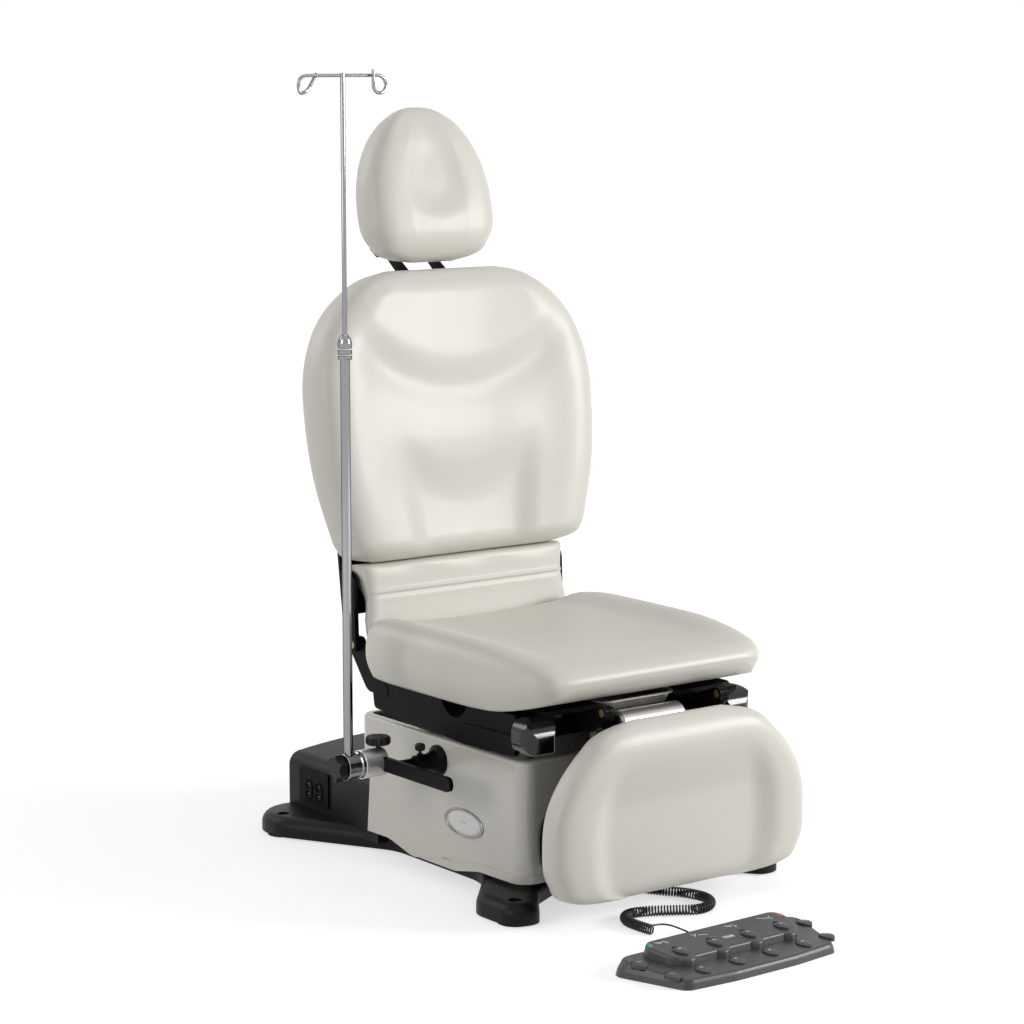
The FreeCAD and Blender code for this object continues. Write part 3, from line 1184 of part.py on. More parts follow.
def pedal_base():
    """Lower deck: a tapered body with a bowed front that climbs to the back, pocketed for its buttons."""
    walls = []
    for inset, z in ((0, 0), (2, 0.6 * PEDAL_LIP), (12, PEDAL_LIP + PEDAL_RISE + 8)):
        fronts = PEDAL_FRONT_HALF - inset
        backs = PEDAL_BACK_HALF - inset
        plan = mirrored([(backs, PEDAL_DEEP - inset, 28), (fronts, inset, 22), (0.4 * fronts, inset - PEDAL_BOW, 90)])
        wire = rounded_wire(plan, flat)
        wire.translate(Z_AXIS * z)
        walls.append(wire)
    body = Part.makeLoft(walls, True, True)
    body = body.common(deck(PEDAL_LIP, PEDAL_RISE, 0, PEDAL_DEEP))
    body = body.makeFillet(PEDAL_EDGE, deck_rim(body, low_deck))
    for x, y in low_buttons():
        body = body.cut(button_pocket(x, y, low_deck(y)))
    entry = bar(Vector(PEDAL_ENTRY_X - PEDAL_X, PEDAL_DEEP + 5, PEDAL_ENTRY_Z),
                Vector(PEDAL_ENTRY_X - PEDAL_X, PEDAL_DEEP - GROMMET_L, PEDAL_ENTRY_Z), GROMMET_R - 1.5)
    return pedal_place(body.cut(entry))


def pedal_cover():
    """Upper deck, which stands on the lower one, with leaning sides and a swell in front of each raising button."""
    walls = []
    for inset, z in ((0, 0), (TIER_SLOPE, TIER_LIP + TIER_RISE + 4)):
        plan = mirrored([(TIER_BACK_HALF - inset, TIER_BACK - inset, 26),
                         (TIER_FRONT_HALF - inset, TIER_FRONT + inset, 34)])
        wire = rounded_wire(plan, flat)
        wire.translate(Z_AXIS * z)
        walls.append(wire)
    body = Part.makeLoft(walls, True, True)
    for x, y in up_buttons():
        swell = Part.makeCone(BUTTON_WIDE + 9, BUTTON_WIDE + 4, TIER_LIP + TIER_RISE, Vector(x, y - 16, 0))
        body = body.fuse(swell)
    body = body.common(deck(TIER_LIP, TIER_RISE, TIER_FRONT, TIER_BACK)).removeSplitter()
    body = body.makeFillet(TIER_EDGE, deck_rim(body, high_deck))
    body = body.cut(deck(PEDAL_LIP, PEDAL_RISE, 0, PEDAL_DEEP))
    for x, y in up_buttons():
        body = body.cut(button_pocket(x, y, high_deck(y)))
    return pedal_place(body.removeSplitter())


def deck_rim(body, height):
    """Edges round a sloping deck, whose height is height(y)."""
    return [edge for edge in body.Edges if all(near(p.z, height(p.y)) for p in edge.discretize(5))]


def low_deck(y):
    """Height of the lower deck at y behind the front edge."""
    return PEDAL_LIP + PEDAL_RISE * y / PEDAL_DEEP


def high_deck(y):
    """Height of the upper deck at y behind the front edge."""
    return TIER_LIP + TIER_RISE * (y - TIER_FRONT) / (TIER_BACK - TIER_FRONT)


def up_buttons():
    """Places of the raising buttons."""
    return [((index - 1.5) * BUTTON_PITCH, UP_ROW) for index in range(4)]


def down_buttons():
    """Places of the lowering buttons."""
    return [((index - 1.5) * BUTTON_PITCH, DOWN_ROW) for index in range(4)]


def corner_buttons():
    """Places of the four buttons at the ends: left back, left front, right back, right front."""
    near_x = CORNER_X - CORNER_IN
    return [(-CORNER_X, CORNER_BACK), (-near_x, CORNER_FRONT), (CORNER_X, CORNER_BACK), (near_x, CORNER_FRONT)]


def low_buttons():
    """Places of all buttons on the lower deck."""
    return down_buttons() + corner_buttons()


def button_column(x, y, low, high, grow):
    """Upright lens-shaped column of a button, pointed to the front and back, grown by grow."""
    long = BUTTON_LONG + grow
    wide = BUTTON_WIDE + grow
    tip = Vector(x, y - long, low)
    heel = Vector(x, y + long, low)
    sides = [Part.Arc(tip, Vector(x + wide, y, low), heel).toShape(),
             Part.Arc(heel, Vector(x - wide, y, low), tip).toShape()]
    return Part.Face(Part.Wire(sides)).extrude(Z_AXIS * (high - low))


def button_pocket(x, y, top):
    """Room of a button with its play and travel."""
    return button_column(x, y, top - BUTTON_SEAT - BUTTON_TRAVEL - SLIDE, top + 40, SLIDE)


def button(x, y, top):
    """Button with a domed top."""
    high = top + BUTTON_DOME
    column = button_column(x, y, top - BUTTON_SEAT, high, 0)
    radius = (BUTTON_LONG ** 2 + BUTTON_DOME ** 2) / (2 * BUTTON_DOME)
    dome = Part.makeSphere(radius, Vector(x, y, high - radius))
    return pedal_place(column.common(dome))


# Curly cord

def biarc(p0, t0, p1, t1):
    """Two tangent arcs from p0 along t0 to p1 along t1, with equal tangent lengths."""
    chord = p1 - p0
    both = t0 + t1
    rest = 2 * (1 - t0.dot(t1))
    reach = chord.dot(both)
    if rest < 1e-9:
        d = chord.dot(chord) / (4 * chord.dot(t1))
    else:
        d = (math.sqrt(reach ** 2 + rest * chord.dot(chord)) - reach) / rest
    joint = (p0 + p1 + (t0 - t1) * d) * 0.5
    return [tangent_arc(p0, t0, joint), tangent_arc(p1, t1 * -1, joint, True)]


def tangent_arc(start, tangent, end, back=False):
    """Arc or line from start along the tangent to end; turned round when it is drawn from its far end."""
    chord = end - start
    turn = tangent.getAngle(chord)
    first, last = (end, start) if back else (start, end)
    if turn < 1e-5:
        return Part.makeLine(first, last)
    across_chord = tangent * chord.Length - chord * math.cos(turn)
    across_chord.normalize()
    middle = (start + end) * 0.5 + across_chord * (0.5 * chord.Length * math.tan(turn / 2))
    return Part.Arc(first, middle, last).toShape()


def plan_route(points):
    """Route through points on the floor: straight runs joined by the largest tangent arcs, as samples along it."""
    stations = [Vector(x, y, 0) for x, y in points]
    pieces = []
    leave = stations[0]
    for before, corner, after in zip(stations, stations[1:], stations[2:]):
        one = (before - corner).normalize()
        two = (after - corner).normalize()
        reach = 0.45 * min((before - corner).Length, (after - corner).Length)
        radius = reach * math.tan(one.getAngle(two) / 2)
        inward = (one + two).normalize()
        middle = corner + inward * (radius / math.sin(one.getAngle(two) / 2) - radius)
        pieces.append(Part.makeLine(leave, corner + one * reach))
        leave = corner + two * reach
        pieces.append(Part.Arc(corner + one * reach, middle, leave).toShape())
    pieces.append(Part.makeLine(leave, stations[-1]))
    return Part.Wire(pieces)


def curl_points():
    """Points and tangents of the helix at every half curl along the plan route, closed at both ends on its top."""
    route = plan_route(CURL_ROUTE)
    curls = round(route.Length / CURL_PITCH)
    height = CURL_R + WIRE / 2 + SEAM
    lengths = [edge.Length for edge in route.OrderedEdges]

    def centre(along):
        for edge, length in zip(route.OrderedEdges, lengths):
            if along <= length + 1e-9:
                parameter = edge.getParameterByLength(min(along, length))
                return edge.valueAt(parameter), edge.tangentAt(parameter)
            along -= length
        raise ValueError("past the end of the route")

    def spot(turn):
        point, way = centre(min(max(turn / curls, 0), 1) * route.Length)
        left = Vector(-way.y, way.x, 0)
        angle = math.pi / 2 - 2 * math.pi * turn
        return point + Z_AXIS * height + left * (CURL_R * math.cos(angle)) + Z_AXIS * (CURL_R * math.sin(angle))

    step = 1e-3
    points = []
    for half in range(2 * curls + 1):
        turn = half / 2
        ahead = spot(min(turn + step, curls))
        behind = spot(max(turn - step, 0))
        points.append((spot(turn), (ahead - behind).normalize()))
    samples = [spot(index / 24) for index in range(24 * curls + 1)]
    return points, samples, curls


def report_cord(samples, curls, tube, path):
    """Print the curls, the least gap between neighbouring curls and the tube's volume against its length."""
    least = min((samples[i] - samples[j]).Length for i in range(len(samples) - 30)
                for j in range(i + 14, min(i + 38, len(samples))))
    section = math.pi * WIRE ** 2 / 4
    print("cord: curls %d, length %.0f mm, least gap %.2f mm, volume over section times length %.4f"
          % (curls, path.Length, least - WIRE, tube.Volume / (section * path.Length)))


def control_cord():
    """One unbroken cord: straight out of the casting, in curls over the floor, then a plain tail to the pedal."""
    points, samples, curls = curl_points()
    exit_y = -(ANCHOR_Y + TOE_FRONT) + NOTCH_DEEP
    start = Vector(CORD_EXIT_X, exit_y - 2, CORD_EXIT_Z)
    lead = start - Y_AXIS * (3 * WIRE)
    edges = [Part.makeLine(start, lead)]
    edges += biarc(lead, Y_AXIS * -1, points[0][0], points[0][1])
    for (p0, t0), (p1, t1) in zip(points, points[1:]):
        edges += biarc(p0, t0, p1, t1)
    local_entry = pedal_place(Part.Vertex(Vector(PEDAL_ENTRY_X - PEDAL_X, PEDAL_DEEP + 2, PEDAL_ENTRY_Z))).Point
    stations = [Vector(*place) for place in TAIL_ROUTE]
    ways = [(b - a).normalize() for a, b in zip([points[-1][0]] + stations, stations[1:] + [local_entry])]
    here, way = points[-1]
    for station, onward in zip(stations, ways):
        edges += biarc(here, way, station, onward)
        here, way = station, onward
    inward = FreeCAD.Rotation(Z_AXIS, PEDAL_TURN).multVec(Y_AXIS * -1)
    run_in = local_entry - inward * (2 * WIRE)
    edges += biarc(here, way, run_in, inward)
    edges.append(Part.makeLine(run_in, local_entry))
    path = Part.Wire(edges)
    ring = Part.Wire(Part.Circle(start, Y_AXIS, WIRE / 2).toShape())
    pipe = Part.BRepOffsetAPI.MakePipeShell(path)
    pipe.add(ring)
    pipe.build()
    pipe.makeSolid()
    tube = pipe.shape()
    report_cord(samples, curls, tube, path)
    radii = [edge.Curve.Radius for edge in path.Edges if hasattr(edge.Curve, "Radius")]
    print("cord: least bend radius %.1f mm, tail radii %s" % (min(radii), ", ".join("%.0f" % r for r in radii[-8:])))
    return tube


def cord_grommets():
    """Grommets in the casting's front edge and in the foot control's back wall; the cord ends on their faces."""
    exit_y = -(ANCHOR_Y + TOE_FRONT) + NOTCH_DEEP
    base = turned([(0, -2), (GROMMET_R - 3, -2), (GROMMET_R + 2, 0), (GROMMET_R, 0), (GROMMET_R, GROMMET_L),
                   (0, GROMMET_L)], Vector(CORD_EXIT_X, exit_y, CORD_EXIT_Z), Y_AXIS)
    r = GROMMET_R - 1.5
    entry = turned([(0, -2), (r - 2, -2), (r, 0), (r, GROMMET_L), (0, GROMMET_L)],
                   Vector(PEDAL_ENTRY_X - PEDAL_X, PEDAL_DEEP, PEDAL_ENTRY_Z), Y_AXIS * -1)
    return Part.makeCompound([base, pedal_place(entry)])


def build():
    """Every node of the chair by name."""
    left_cover, right_cover, front_cover, back_cover = cover_pieces()
    skirt = left_skirt()
    nodes = {
        "base_casting": base_casting(), "left_side_cover": left_cover, "right_side_cover": right_cover,
        "front_cover": front_cover, "back_cover": back_cover, "rear_housing": rear_housing(),
        "outlet_panel": outlet_panel(), "mains_inlet": mains_inlet(), "lift_outer_tube": column_tube(0),
        "lift_tube_2": column_tube(1), "lift_tube_3": column_tube(2), "lift_jack": lift_jack(),
        "lift_carriage": carriage(), "seat_plate": seat_plate(), "seat_frame": seat_frame(), "hinge_pins": hinge_pins(), "left_skirt": skirt,
        "right_skirt": other_side(skirt), "end_caps": end_caps(), "debris_tray": debris_tray(),
        "leg_drive": leg_drive(), "back_drive": back_drive(), "seat_pad": seat_pad(), "back_frame": back_frame(),
        "back_shell": back_shell(), "back_pad": back_pad(), "back_flap": back_flap(),
        "headrest_bar": headrest_bar(), "headrest_shell": headrest_shell(), "headrest_pad": headrest_pad(),
        "leg_frame": leg_frame(), "leg_shell": leg_shell(), "leg_pad": leg_pad(), "arm_socket": arm_socket(),
        "arm_thumb_screw": arm_thumb_screw(), "accessory_arm": accessory_arm(), "clamp_body": clamp_body(),
        "clamp_knob": clamp_knob(), "clamp_collar": clamp_collar(), "star_knob": star_knob(),
        "pole_lower": pole_lower(), "pole_lock_collar": pole_lock_collar(), "pole_upper": pole_upper(),
        "pedal_base": pedal_base(), "pedal_cover": pedal_cover(), "cord_grommets": cord_grommets(),
        "control_cord": control_cord(),
    }
    for index, (x, y) in enumerate(up_buttons()):
        nodes["up_button_%d" % (index + 1)] = button(x, y, high_deck(y))
    for index, (x, y) in enumerate(down_buttons()):
        nodes["down_button_%d" % (index + 1)] = button(x, y, low_deck(y))
    for index, (x, y) in enumerate(corner_buttons()):
        nodes["corner_button_%d" % (index + 1)] = button(x, y, low_deck(y))
    return nodes


os.makedirs("parts", exist_ok=True)
for name, shape in build().items():
    if not shape.isValid():
        print("invalid shape:", name)
    shape.exportStep("parts/%s.step" % name)
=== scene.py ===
import json
import math

import bpy
import numpy as np
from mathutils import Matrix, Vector


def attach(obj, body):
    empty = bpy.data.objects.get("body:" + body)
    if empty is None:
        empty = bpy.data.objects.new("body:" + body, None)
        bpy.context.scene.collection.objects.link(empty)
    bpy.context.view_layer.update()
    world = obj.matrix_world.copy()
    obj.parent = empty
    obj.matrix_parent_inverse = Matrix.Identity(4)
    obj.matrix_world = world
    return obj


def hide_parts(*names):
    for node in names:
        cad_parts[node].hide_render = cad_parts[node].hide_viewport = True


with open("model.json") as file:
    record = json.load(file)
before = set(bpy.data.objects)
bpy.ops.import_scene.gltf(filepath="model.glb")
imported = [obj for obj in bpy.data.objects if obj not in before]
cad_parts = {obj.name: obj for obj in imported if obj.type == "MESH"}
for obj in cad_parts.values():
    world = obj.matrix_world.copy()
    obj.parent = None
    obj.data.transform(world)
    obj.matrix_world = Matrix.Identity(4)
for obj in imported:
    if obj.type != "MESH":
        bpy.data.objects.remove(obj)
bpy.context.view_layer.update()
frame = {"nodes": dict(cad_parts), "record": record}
nodes = frame["nodes"]
bodies = frame["record"]["behaviour"]["bodies"]
body_of = {node: body for body, names in bodies.items() for node in names}
MM = 0.001


# Camera, floor and light

def place_camera():
    """The photograph's camera: 37 degrees to the chair's left, a little above it and looking down 8.8 degrees."""
    data = bpy.data.cameras.new("camera")
    data.lens = 104.2
    data.sensor_width = 36
    camera = bpy.data.objects.new("camera", data)
    camera.location = (-3.625, -4.8, 1.648)
    turn, down = 37, 8.8
    camera.rotation_euler = (math.radians(90 - down), 0, math.radians(-turn))
    bpy.context.scene.collection.objects.link(camera)
    bpy.context.scene.camera = camera


def area_light(name, place, target, size, power):
    """Square soft light that faces its target."""
    data = bpy.data.lights.new(name, "AREA")
    data.size = size
    data.energy = power
    light = bpy.data.objects.new(name, data)
    light.location = place
    light.rotation_euler = (Vector(target) - Vector(place)).to_track_quat("-Z", "Y").to_euler()
    bpy.context.scene.collection.objects.link(light)


def add_node(tree, kind, inputs, **settings):
    """Adds a shader node; an input is a constant or another node's output."""
    node = tree.nodes.new(kind)
    for key, value in settings.items():
        setattr(node, key, value)
    for key, value in inputs.items():
        if isinstance(value, bpy.types.NodeSocket):
            tree.links.new(value, node.inputs[key])
        else:
            node.inputs[key].default_value = value
    return node


def seen_ray(tree):
    """1 for rays that show the background itself, straight, mirrored or through glass, and 0 for those that light."""
    path = add_node(tree, "ShaderNodeLightPath", {}).outputs
    straight = add_node(tree, "ShaderNodeMath", {0: path["Is Camera Ray"], 1: path["Is Glossy Ray"]},
                        operation="MAXIMUM")
    seen = add_node(tree, "ShaderNodeMath", {0: straight.outputs[0], 1: path["Is Transmission Ray"]},
                    operation="MAXIMUM")
    return seen.outputs[0]


def light_studio():
    """White surround that lights only weakly, a large key from the right front, a soft light from the top, a weak fill
    from the left and a rim light from behind."""
    world = bpy.data.worlds.new("studio")
    bpy.context.scene.world = world
    world.use_nodes = True
    tree = world.node_tree
    back = tree.nodes["Background"]
    back.inputs["Color"].default_value = (1, 1, 1, 1)
    level = add_node(tree, "ShaderNodeMapRange", {"Value": seen_ray(tree), "To Min": 0.26, "To Max": 1.0})
    tree.links.new(level.outputs["Result"], back.inputs["Strength"])
    area_light("key", (3.75, -4.1, 2.1), (0, -0.2, 0.5), 1.8, 224)
    area_light("top", (0.6, -0.4, 4.4), (0, 0, 0.6), 2.4, 22)
    area_light("fill", (-5.4, -0.4, 2.2), (0, 0, 0.7), 2.6, 74)
    area_light("rim", (-2.4, 3.6, 3.0), (0, 0, 0.9), 2.0, 34)
    bpy.context.scene.view_settings.view_transform = "Standard"


# Materials

def srgb(code):
    """Linear colour of a hexadecimal sRGB code."""
    parts = [int(code[i:i + 2], 16) / 255 for i in (1, 3, 5)]
    return [c / 12.92 if c <= 0.04045 else ((c + 0.055) / 1.055) ** 2.4 for c in parts] + [1]


def surface_finish(name, colour, rough, metal=0.0, coat=0.0, shine=0.5, rim=1.0, grain=0.0, depth=0.0, drift=0.03,
                   uneven=0.04, stretch=(1, 1, 1)):
    """Shader of one real material: shine is the strength of its mirror part and rim what is left of that where a metal
    turns away, grain is the size of its bumps and depth their height, both in millimetres, drift how far the colour and
    uneven how far the gloss wander over some centimetres; stretch draws the grain out."""
    made = bpy.data.materials.new(name)
    made.use_nodes = True
    tree = made.node_tree
    shader = tree.nodes["Principled BSDF"]
    shader.inputs["Metallic"].default_value = metal
    shader.inputs["Specular IOR Level"].default_value = shine
    shader.inputs["Specular Tint"].default_value = (rim, rim, rim, 1)
    shader.inputs["Coat Weight"].default_value = coat
    shader.inputs["Coat Roughness"].default_value = 0.12
    place = add_node(tree, "ShaderNodeTexCoord", {}).outputs["Object"]
    cloud = add_node(tree, "ShaderNodeTexNoise", {"Vector": place, "Scale": 24, "Detail": 3}).outputs["Fac"]
    full = srgb(colour)
    dark = [c * (1 - drift) for c in full[:3]] + [1]
    tint = add_node(tree, "ShaderNodeMix", {0: cloud, 6: dark, 7: full}, data_type="RGBA")
    tree.links.new(tint.outputs[2], shader.inputs["Base Color"])
    gloss = add_node(tree, "ShaderNodeMapRange", {"Value": cloud, "To Min": rough - uneven, "To Max": rough + uneven})
    tree.links.new(gloss.outputs["Result"], shader.inputs["Roughness"])
    if grain:
        drawn = add_node(tree, "ShaderNodeMapping", {"Vector": place, "Scale": stretch}).outputs["Vector"]
        bumps = add_node(tree, "ShaderNodeTexNoise", {"Vector": drawn, "Scale": 1 / (grain * MM), "Detail": 2})
        bump = add_node(tree, "ShaderNodeBump", {"Height": bumps.outputs["Fac"], "Distance": depth * MM,
                                                 "Strength": 0.6})
        tree.links.new(bump.outputs["Normal"], shader.inputs["Normal"])
    return made


def floor_finish():
    """White studio floor: it takes the shadow, and to the camera it glows a little, more so farther out, so that it
    runs into the white behind it."""
    made = surface_finish("painted_studio_floor", "#cccccc", 0.7, drift=0.01)
    tree = made.node_tree
    shader = tree.nodes["Principled BSDF"]
    place = add_node(tree, "ShaderNodeTexCoord", {}).outputs["Object"]
    far = add_node(tree, "ShaderNodeVectorMath", {0: place}, operation="LENGTH")
    glow = add_node(tree, "ShaderNodeMapRange", {"Value": far.outputs["Value"], "From Min": 1.0, "From Max": 4.0,
                                                 "To Min": 0.6, "To Max": 0.92}, interpolation_type="SMOOTHSTEP")
    level = add_node(tree, "ShaderNodeMath", {0: glow.outputs["Result"], 1: seen_ray(tree)}, operation="MULTIPLY")
    shader.inputs["Emission Color"].default_value = (1, 1, 1, 1)
    tree.links.new(level.outputs[0], shader.inputs["Emission Strength"])
    return made


# Thermoformed vinyl over foam: a soft sheen, and a leather grain that is drawn coarser than life so that it shows.
vinyl = surface_finish("upholstery_vinyl_thermoformed", "#d6d3ca", 0.45, coat=0.06, grain=2.6, depth=0.05)
# Vacuum-formed covers: smooth and fairly glossy, so the edges carry clean highlights.
cover_plastic = surface_finish("cover_plastic_vacuum_formed", "#cfccc3", 0.28, coat=0.3, drift=0.02, uneven=0.01)
# Powder coat on cast iron: an orange-peel texture that breaks the highlights up.
textured_black = surface_finish("casting_powder_coated", "#131011", 0.42, shine=0.16, grain=3.0, depth=0.2, drift=0.15)
# Wet paint on welded steel: satin, with a slight waviness.
satin_black = surface_finish("steel_painted_satin_black", "#0d0b0c", 0.38, shine=0.06, grain=6.0, depth=0.05, drift=0.1)
# Polished mould: the caps mirror the room.
gloss_black = surface_finish("abs_moulded_gloss_black", "#0b0a0a", 0.14, shine=0.3, coat=0.3, drift=0.05, uneven=0.02)
# Spark-eroded mould: an even matt black.
shell_black = surface_finish("abs_moulded_matt_black", "#141213", 0.46, shine=0.25, grain=1.6, depth=0.08, drift=0.08)
# Deep matt moulding: the sockets stay dark, so that only their contacts show.
socket_black = surface_finish("phenolic_moulded_black", "#0c0b0b", 0.55, shine=0.08, drift=0.08)
# Turned and brushed aluminium: streaks round the clamp.
aluminium = surface_finish("aluminium_turned_brushed", "#d2d2d0", 0.32, metal=0.75, grain=1.2, depth=0.03,
                           stretch=(1, 0.05, 0.05))
# Silver paint on sheet and tube: a soft metallic sheen.
silver = surface_finish("steel_painted_silver", "#b6b4b1", 0.34, metal=0.85, grain=2.0, depth=0.02)
# Plated tube: almost a mirror and a little dull in places; its metal edge tint is set to black (rim 0), which paints a
# dark reflection along both edges.
chrome = surface_finish("tube_chrome_plated", "#8f8f91", 0.1, metal=1, rim=0.0, uneven=0.03)
# Ground steel: fine lines along the tubes.
steel = surface_finish("steel_ground_bright", "#9b9b9a", 0.28, metal=1, grain=1.6, depth=0.03, stretch=(0.06, 0.06, 1))
# Zinc-plated pins: a yellowish passivated sheen.
zinc = surface_finish("pin_zinc_passivated", "#a8946a", 0.34, metal=1, drift=0.12)
# Grained moulding: dark grey with a soft highlight on each rounding.
pedal_plastic = surface_finish("abs_moulded_dark_grey", "#343234", 0.38, shine=0.6, grain=1.8, depth=0.08, drift=0.06)
# Extruded jacket: black with a narrow gloss on every turn.
cord_jacket = surface_finish("pvc_extruded_jacket", "#121011", 0.32, shine=0.35, drift=0.08)
# Screen-printed ink: flat and a little uneven.
white_print = surface_finish("ink_white_screen_printed", "#e4e3e0", 0.6)
green_print = surface_finish("ink_green_screen_printed", "#35a58f", 0.55)
red_print = surface_finish("ink_red_screen_printed", "#c9585c", 0.55)
# Clear window over pale segments: it looks light grey and glossy.
display_grey = surface_finish("window_polycarbonate", "#b9bcc0", 0.16, coat=0.5)
# Plated rim and pale satin field of the bare badge.
badge_silver = surface_finish("badge_rim_plated", "#8b8a88", 0.2, metal=1)
badge_field = surface_finish("badge_field_satin", "#e8e7e3", 0.34)
# Natural nylon rings: milky white.
nylon = surface_finish("ring_nylon_turned", "#e2e1da", 0.4)


# CAD nodes that are shown as they are

def dress(made, *names, crisp=32):
    """Gives CAD nodes a material and smooth shading that stays crisp at edges of more than so many degrees."""
    for name in names:
        data = nodes[name].data
        data.materials.clear()
        data.materials.append(made)
        data.shade_smooth()
        data.set_sharp_from_angle(angle=math.radians(crisp))


CREASE_ALONG = 40
CREASE_RISE = 12


def sharpen_crease(*names):
    """Marks edges of side covers as sharp that run farther than CREASE_ALONG along Y and rise by more than CREASE_RISE,
    so that the shallow crease of their flare isn't smoothed away."""
    for name in names:
        data = nodes[name].data
        ends = np.zeros(2 * len(data.edges), int)
        places = np.zeros(3 * len(data.vertices))
        marks = np.zeros(len(data.edges), bool)
        data.edges.foreach_get("vertices", ends)
        data.vertices.foreach_get("co", places)
        data.edges.foreach_get("use_edge_sharp", marks)
        run = np.abs(np.diff(places.reshape(-1, 3)[ends.reshape(-1, 2)], axis=1))[:, 0] / MM
        crease = (run[:, 1] > CREASE_ALONG) & (run[:, 2] > CREASE_RISE)
        data.edges.foreach_set("use_edge_sharp", marks | crease)


def dress_nodes():
    """Materials of the rigid nodes."""
    dress(textured_black, "base_casting", "rear_housing")
    dress(cover_plastic, "left_side_cover", "right_side_cover", "front_cover", "back_cover")
    sharpen_crease("left_side_cover", "right_side_cover")
    dress(satin_black, "seat_plate", "seat_frame", "lift_carriage", "leg_frame", "headrest_bar", "lift_jack",
          "back_frame", "left_skirt", "right_skirt", "accessory_arm", "arm_socket")
    dress(shell_black, "back_shell", "headrest_shell", "leg_shell", "clamp_knob", "star_knob", "arm_thumb_screw",
          "cord_grommets")
    dress(socket_black, "outlet_panel", "mains_inlet")
    dress(gloss_black, "end_caps", crisp=75)
    dress(steel, "lift_outer_tube", "lift_tube_2", "lift_tube_3")
    dress(zinc, "hinge_pins")
    dress(aluminium, "clamp_body")
    dress(silver, "leg_drive", "back_drive", "debris_tray")
    dress(chrome, "clamp_collar", "pole_lower", "pole_lock_collar", "pole_upper")
    buttons = [name for name in nodes if "_button_" in name]
    dress(pedal_plastic, "pedal_base", "pedal_cover", *buttons)


# Meshes

def make_piece(name, points, faces, body, made):
    """Smooth mesh object at the origin that rides on a body; points are in metres."""
    data = bpy.data.meshes.new(name)
    data.from_pydata(np.asarray(points).reshape(-1, 3).tolist(), [], faces)
    data.update()
    data.shade_smooth()
    data.materials.append(made)
    piece = bpy.data.objects.new(name, data)
    bpy.context.scene.collection.objects.link(piece)
    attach(piece, body)
    return piece


def grid_faces(rows, columns, wrap_rows=False):
    """Quads of a grid of points whose columns close into rings; wrap_rows joins the last row to the first too."""
    row, column = np.meshgrid(np.arange(rows if wrap_rows else rows - 1), np.arange(columns), indexing="ij")
    nxt = (row + 1) % rows
    turn = (column + 1) % columns
    quads = [row * columns + column, row * columns + turn, nxt * columns + turn, nxt * columns + column]
    return np.stack(quads, -1).reshape(-1, 4).tolist()


def smooth_step(low, high, value):
    """0 below low, 1 above high, with an easy passage between."""
    t = np.clip((value - low) / (high - low), 0, 1)
    return t * t * (3 - 2 * t)


def spline_weights(knots, count):
    """Weights of a Catmull-Rom curve through evenly numbered knots, one row for each of count points along it."""
    t = np.linspace(0, knots - 1, count)
    start = np.minimum(t.astype(int), knots - 2)
    f = t - start
    cubic = np.stack([-0.5 * f + f ** 2 - 0.5 * f ** 3, 1 - 2.5 * f ** 2 + 1.5 * f ** 3,
                      0.5 * f + 2 * f ** 2 - 1.5 * f ** 3, -0.5 * f ** 2 + 0.5 * f ** 3], 1)
    weights = np.zeros((count, knots))
    which = np.clip(start[:, None] + np.arange(-1, 3), 0, knots - 1)
    np.add.at(weights, (np.arange(count)[:, None], which), cubic)
    return weights


def curve_through(knots, values, where):
    """Cubic through values at the knots, whose slopes are limited so that it doesn't overshoot."""
    knots = np.asarray(knots, float)
    values = np.asarray(values, float)
    step = np.diff(knots)
    rise = np.diff(values) / step
    slope = np.concatenate([rise[:1], (rise[:-1] + rise[1:]) / 2, rise[-1:]])
    slope[1:-1][rise[:-1] * rise[1:] <= 0] = 0
    limit = 3 * np.minimum(np.abs(np.append(rise, rise[-1])), np.abs(np.insert(rise, 0, rise[0])))
    slope = np.clip(slope, -limit, limit)
    index = np.clip(np.searchsorted(knots, where, side="right") - 1, 0, len(step) - 1)
    h = step[index]
    t = (where - knots[index]) / h
    return ((1 + 2 * t) * (1 - t) ** 2 * values[index] + t * (1 - t) ** 2 * h * slope[index]
            + t * t * (3 - 2 * t) * values[index + 1] + t * t * (t - 1) * h * slope[index + 1])


# Upholstered pads

TUCK = 16
HALF_ROUND = 40
BACKING = 12


def pad_sections(half, thick, dish, droop, crest):
    """Closed sections, one row for each width: from the back's edge over a round bolster, which is crest wide, to a
    parabolic hollow of depth dish in the middle, then the mirror image and the flat back; all but crest are columns."""
    crest = np.minimum(crest, 0.5 * half)
    tuck = np.minimum(TUCK, 0.3 * half)
    middle = np.array([0.75, 0.5, 0.25, 0.0])
    side_u = [half - tuck, half - 0.2 * tuck, half, half - 0.1 * crest, half - 0.42 * crest, half - crest]
    side_v = [-droop, 0.16 * thick, 0.44 * thick, 0.76 * thick, 0.955 * thick, thick]
    weights = spline_weights(10, HALF_ROUND).T
    u = np.concatenate(side_u + [(half - crest) * middle], 1) @ weights
    v = np.concatenate(side_v + [thick - dish * (1 - middle ** 2)], 1) @ weights
    back = u[:, :1] * np.linspace(-1, 1, BACKING + 2)[1:-1]
    ring_u = np.concatenate([u, -u[:, -2::-1], back], 1)
    ring_v = np.concatenate([v, v[:, -2::-1], v[:, :1] * np.ones(BACKING)], 1)
    return ring_u, ring_v


def nose(s, low, high, foot, head):
    """Share of the full thickness at stations s: 1 along the pad, falling to almost 0 as a round nose of length foot at
    the low end and head at the high end."""
    inside = np.maximum((low + foot - s) / foot, (s - high + head) / head)
    return np.sqrt(np.maximum(1 - np.clip(inside, 0, 1) ** 2.3, 0.0008))


